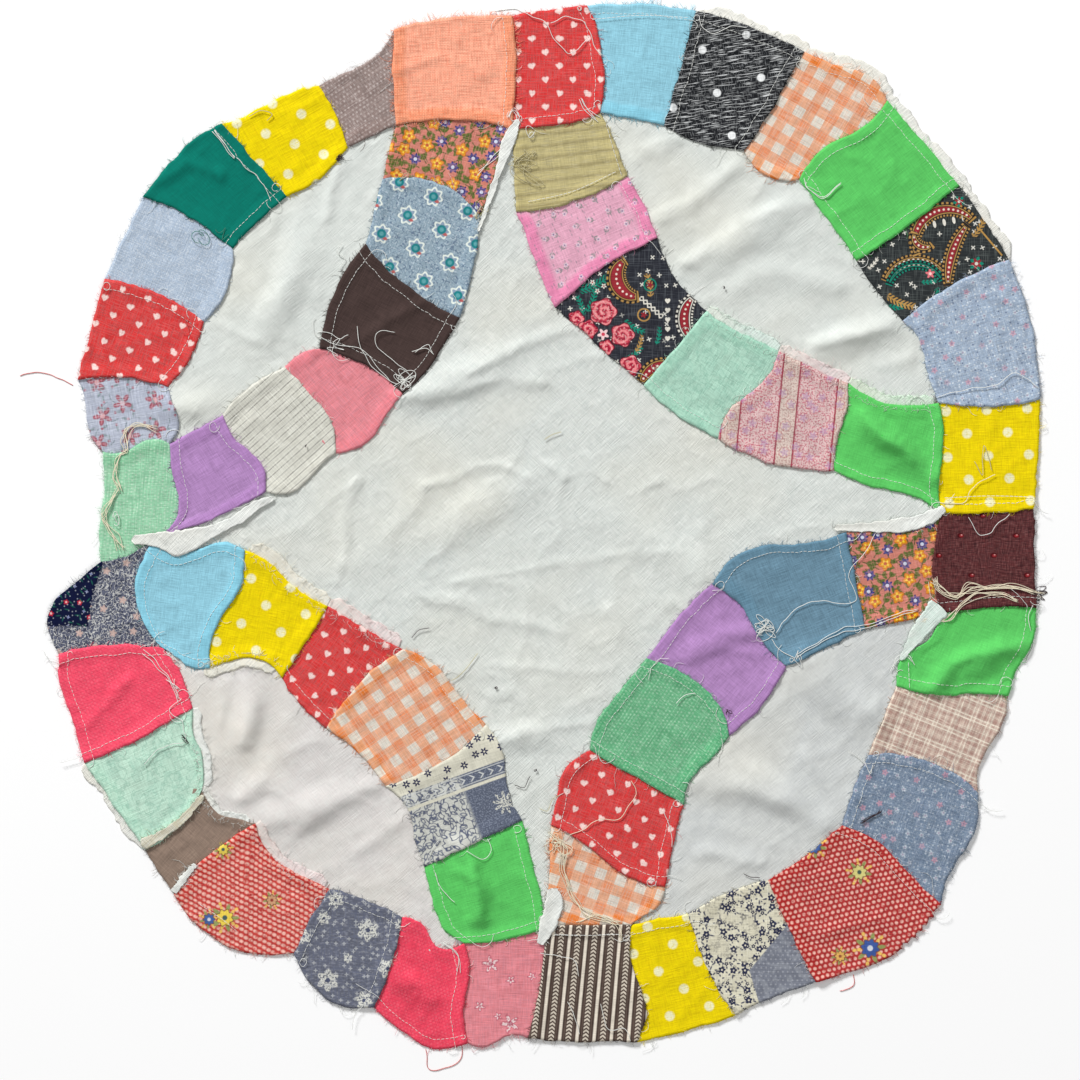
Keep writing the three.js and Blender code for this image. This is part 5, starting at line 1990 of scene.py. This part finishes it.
THREADS = [
    # thread, how many side by side, how far apart, then the places along it
    ("white", 1, 0, (-24, 258), (-14, 259), (-7, 256), (1, 252), (6, 244), (10, 239), (14, 237), (22, 244)),
    ("white", 1, 0, (3, 252), (10, 255), (18, 254), (22, 249), (25, 240), (29, 236)),
    ("white", 2, 1.5, (-18, 192), (-24, 185), (-32, 178)),
    ("white", 3, 2, (18, 214), (22, 208), (27, 204)),
    ("white", 1, 0, (78, 256), (79, 250), (85, 248), (93, 251), (103, 250)),
    ("red", 1, 0, (-262, 76), (-254, 78), (-247, 77), (-241, 74), (-236, 71.5)),
    ("white", 1, 0, (-113, 98), (-107, 97), (-102, 94), (-98, 96)),
    ("white", 1, 0, (-102, 142), (-104, 138), (-100, 134), (-103, 129)),
    ("white", 1, 0, (-93, 101), (-92, 93), (-88, 83), (-80, 76), (-73, 72)),
    ("white", 1, 0, (-75, 97), (-82, 98), (-85, 94), (-83, 89), (-76, 83), (-69, 78)),
    ("white", 1, 0, (-113, 96), (-104, 92), (-92, 90), (-84, 82), (-76, 74)),
    ("white", 2, 1.5, (-64, 88), (-58, 90), (-55, 88)),
    ("cream", 5, 2.0, (-193, 49), (-204, 51), (-211, 46), (-209, 39), (-213, 35), (-215, 26), (-213, 18)),
    ("cream", 5, 2.2, (-213, 18), (-219, 8), (-220, 4), (-215, -3), (-212, -11)),
    ("white", 1, 0, (197, 65), (209, 68), (219, 70), (227, 71), (235, 77), (241, 75), (249, 69)),
    ("cream", 1, 0, (199, 12), (209, 12), (213, 19), (219, 24), (225, 26)),
    ("khaki", 1, 0, (215, 34), (219, 27), (220, 41), (224, 29)),
    (
        "white", 1, 0, (212, 5), (214.5, 1), (216, -2), (218, -3.8), (221, -3.6), (224, -2), (226, 1),
        (229, 4), (233, 7),
    ),
    ("cream", 7, 2.0, (195, -25), (198, -31), (205, -34), (213, -30), (223, -29), (234, -30), (249, -31)),
    ("cream", 5, 1.8, (237, -37), (227, -32), (216, -33), (209, -39), (202, -45), (195, -46), (187, -46)),
    ("white", 1, 0, (245, -39), (243, -46), (245, -59), (242, -67)),
    (
        "white", 1, 0, (115, -53), (120, -46), (130, -38), (140, -37), (155, -37), (152, -24), (159, -14),
        (166, -2),
    ),
    ("white", 1, 0, (114, -55), (118, -60), (125, -64)),
    ("white", 2, 0.6, (126, -63), (137, -57), (151, -50), (163, -48), (176, -43), (187, -40)),
    ("white", 1, 0, (-180, -108), (-192, -111), (-200, -119)),
    ("white", 1, 0, (-180, -85), (-187, -91), (-180, -97), (-179, -107)),
    ("white", 2, 1.5, (-199, -62), (-192, -70), (-186, -77), (-182, -86)),
    ("cream", 1, 0, (12, -154), (20, -150), (27, -146), (38, -145), (45, -135), (46, -131), (44, -126)),
    ("cream", 5, 2.0, (6, -157), (11, -160), (10, -170), (15, -184), (23, -193), (38, -198)),
    ("cream", 2, 1, (2, -152), (8, -156), (14, -160), (10, -163), (5, -158)),
    ("cream", 2, 1.5, (16, -196), (26, -194), (36, -198), (40, -206)),
    ("white", 1, 0, (-2, -213), (8, -215), (15, -217), (17, -225)),
    ("white", 1, 0, (12, -236), (16, -244), (18, -252)),
    ("white", 1, 0, (28, -238), (32, -250), (40, -250), (43, -257)),
    ("red", 1, 0, (-59, -261), (-57, -271), (-43, -267), (-41, -257)),
    ("white", 2, 1, (-50, -208), (-44, -214), (-43, -222)),
    ("red", 1, 0, (155, -223), (155, -228), (148, -231)),
    ("dark", 4, 0.8, (158, -147), (163, -144), (168, -141)),
    ("dark", 1, 0, (-15, -128), (-10, -129), (-7, -124)),
    ("dark", 1, 0, (-66, -56), (-62, -52), (-57, -51)),
    ("khaki", 1, 0, (-47, -77), (-40, -72), (-33, -63)),
    ("khaki", 1, 0, (0, 44), (4, 47), (8, 48)),
    ("khaki", 1, 0, (-2, -140), (2, -141), (4, -136), (8, -133)),
    ("white", 2, 0.8, (129, 175), (134, 168), (140, 165), (149, 172)),
    ("white", 3, 0.7, (-167, 201), (-162, 195), (-158, 190), (-154, 185)),
    ("white", 1, 0, (-154, 185), (-148, 179), (-142, 173), (-137, 163)),
    ("white", 1, 0, (-40, -161), (-32, -165), (-27, -161), (-29, -155)),
    ("white", 1, 0, (-54, -172), (-52, -180), (-44, -187)),
    ("white", 1, 0, (60, -142), (63, -150), (64, -160)),
    ("white", 1, 0, (66, -88), (70, -84), (76, -83)),
    ("dark", 1, 0, (100, -173), (104, -175), (108, -175)),
    ("khaki", 1, 0, (-148, 205), (-142, 208), (-136, 206), (-139, 203)),
    ("white", 2, 1, (174, -72), (176, -66), (182, -64), (184, -68)),
    ("white", 1, 0, (158, -114), (162, -122), (164, -118)),
]
TANGLES = [
    # thread, x, y, radius, how many turns
    ("white", -14, 206, 3.6, 5),
    ("white", -6, 197, 3.4, 2),
    ("khaki", -9, 180, 7.5, 8),
    ("khaki", -8, 187, 3.0, 3),
    ("khaki", -32, 159, 3.6, 4),
    ("red", -179, 101, 3.6, 2),
    ("white", -70, 74, 5.0, 9),
    ("white", -104, 90, 4.0, 4),
    ("dark", 248, -33, 3.2, 7),
    ("white", 110, -50, 5.5, 9),
    ("white", 126, -65, 3.6, 4),
    ("dark", -179, -106, 2.6, 3),
    ("cream", 6, -158, 4.5, 6),
    ("dark", -102, 185, 1.8, 7),
    ("green", -171, 146, 4.0, 3),
    ("green", -160, 147, 3.2, 2),
    ("white", -185, -78, 3.0, 4),
    ("khaki", -70, 176, 2.2, 2),
    ("white", -214, 5, 3.6, 3),
    ("dark", -119, 41, 0.5, 3),
    ("dark", 90, 120, 0.5, 3),
    ("dark", -4, -121, 0.6, 3),
    ("dark", -24, -80, 0.7, 3),
    ("dark", 92, -92, 1.6, 3),
]
SEAM_LINES = [
    # places along rows of stitches that no side of a piece has
    ((182, -67), (182.6, -80)),
    ((200, 15), (222, 16), (244, 15.5)),
    ((5, -203), (22, -203.5), (38, -203)),
    ((24, 254), (48, 256), (72, 255)),
    ((31, 202), (35, 188), (38.8, 176)),
    ((-8, 163), (14, 168), (36, 178)),
    ((-150, -205), (-160, -196), (-172, -188)),
]


def rim_reach(x, y):
    """How far inside the rim a place is."""
    rims = np.array([row[1] for row in RING_SEAMS]) - MIDDLE
    angles = np.arctan2(rims[:, 1], rims[:, 0])
    distances = np.hypot(rims[:, 0], rims[:, 1])
    away_x = x - MIDDLE[0]
    away_y = y - MIDDLE[1]
    reach = np.interp(np.arctan2(away_y, away_x), angles, distances, period=2 * np.pi)
    return reach - np.hypot(away_x, away_y)


def on_top(places, height):
    """Lays threads on the patchwork, and on the surface beyond the rim."""
    x = places[..., 0]
    y = places[..., 1]
    covered = smooth(-1.5, 1.5, rim_reach(x, y))
    height = 0.25 + covered * (ground(x, y) + height)
    return np.concatenate([places, height[..., None]], -1)


def build_threads():
    """Long loose threads, tangles and a few more rows of stitches."""
    solids = {colour: Solid() for colour in ("white", "cream", "red", "dark", "khaki", "green")}
    for colour, strands, apart, *places in THREADS:
        for _ in range(strands):
            moved = np.array(places, float) + RNG.normal(0, apart * 0.5, (len(places), 2))
            path = curve_through(moved, LOOSE_POINTS)
            wander = [noise(path[:, 0], path[:, 1], 5, seed) for seed in (51, 52)]
            path = path + 0.45 * RNG.normal(0, 1, 2) + 0.6 * np.stack(wander, -1)
            lie = ON_BAND + 0.05 + 0.2 * noise(path[:, 0], path[:, 1], 6, 53)
            add_threads(solids[colour], on_top(path, lie)[None], LOOSE_RADIUS, np.zeros((1, 3)), 5)
    for colour, x, y, radius, turns in TANGLES:
        t = np.linspace(0, 1, TURN_POINTS * turns)
        place = np.zeros((len(t), 2))
        for axis in (0, 1):
            for step in range(1, 4):
                phase = RNG.uniform(0, ANY_WAY)
                speed = 2 * np.pi * turns * RNG.uniform(0.5, 1.1) / step
                place[:, axis] += radius * 0.55 / step**0.5 * np.sin(speed * t + phase)
        lie = ON_BAND + 0.15 + 0.25 * np.sin(2 * np.pi * turns * 0.8 * t)
        path = on_top(place + [x, y], lie)
        add_threads(solids[colour], path[None], TANGLE_RADIUS, np.zeros((1, 3)), 4)
    for places in SEAM_LINES:
        length = np.hypot(*(np.array(places[-1]) - places[0]))
        ends = curve_through(places, int(length / STRAY_PITCH) + 1)
        starts = ends[:-1, None]
        paths = starts + (ends[1:, None] - starts) * STITCH[:, None]
        paths = on_top(paths, ON_BAND + 0.1)
        add_threads(solids["white"], paths, TANGLE_RADIUS, np.zeros((len(paths), 3)), 4)
    for colour, solid in solids.items():
        material = MATERIALS["thread" if colour == "white" else f"{colour}_thread"]
        EDGINGS["centre"].append(solid.build(f"loose_{colour}", material))


build_remnants()
build_arcs()
build_ends()
build_strips()
build_tabs()
build_threads()
for name, threads in (("stitches", STITCHES), ("lint", LINT)):
    EDGINGS["centre"].append(threads.build(name, MATERIALS["thread"]))
build_melons()
build_centre()

# ---------------------------------------------------------------------------------------------
# Surroundings

FLOOR_REACH = 3  # metres from the middle to each side
corners = [(x * FLOOR_REACH, y * FLOOR_REACH, 0) for x, y in ((-1, -1), (1, -1), (1, 1), (-1, 1))]
floor_mesh = bpy.data.meshes.new("floor")
floor_mesh.from_pydata(corners, [], [(0, 1, 2, 3)])
floor = bpy.data.objects.new("floor", floor_mesh)
bpy.context.scene.collection.objects.link(floor)
floor_paint = bpy.data.materials.new("floor_paint")
floor_paint.use_nodes = True
floor_inputs = floor_paint.node_tree.nodes["Principled BSDF"].inputs
floor_inputs["Base Color"].default_value = (0.99, 0.99, 0.99, 1)
floor_inputs["Roughness"].default_value = 0.9
floor_mesh.materials.append(floor_paint)


def area_light(name, place, size, power):
    """A square lamp at a place in metres that faces the middle, with its power in watts."""
    data = bpy.data.lights.new(name, "AREA")
    data.size = size
    data.energy = power
    light = bpy.data.objects.new(name, data)
    light.location = place
    aim = light.location * -1
    light.rotation_euler = aim.to_track_quat("-Z", "Y").to_euler()
    bpy.context.scene.collection.objects.link(light)


area_light("key", (-2.3, 3.9, 2.4), 1.1, 315)
area_light("fill", (1.35, -0.9, 2.4), 1.5, 17)
world = bpy.data.worlds.new("studio")
world.use_nodes = True
sky_inputs = world.node_tree.nodes["Background"].inputs
sky_inputs["Color"].default_value = (1, 1, 1, 1)
sky_inputs["Strength"].default_value = 0.3
bpy.context.scene.world = world
bpy.context.scene.view_settings.view_transform = "Standard"

VIEW_WIDTH = 0.54  # the frame shows this much of the surface, in metres
VIEW_MIDDLE = (-0.00254, -0.00802)
camera_data = bpy.data.cameras.new("camera")
camera_data.sensor_width = 36
camera_data.lens = 120
camera = bpy.data.objects.new("camera", camera_data)
distance = VIEW_WIDTH * camera_data.lens / camera_data.sensor_width
camera.location = (*VIEW_MIDDLE, distance)
bpy.context.scene.collection.objects.link(camera)
bpy.context.scene.camera = camera
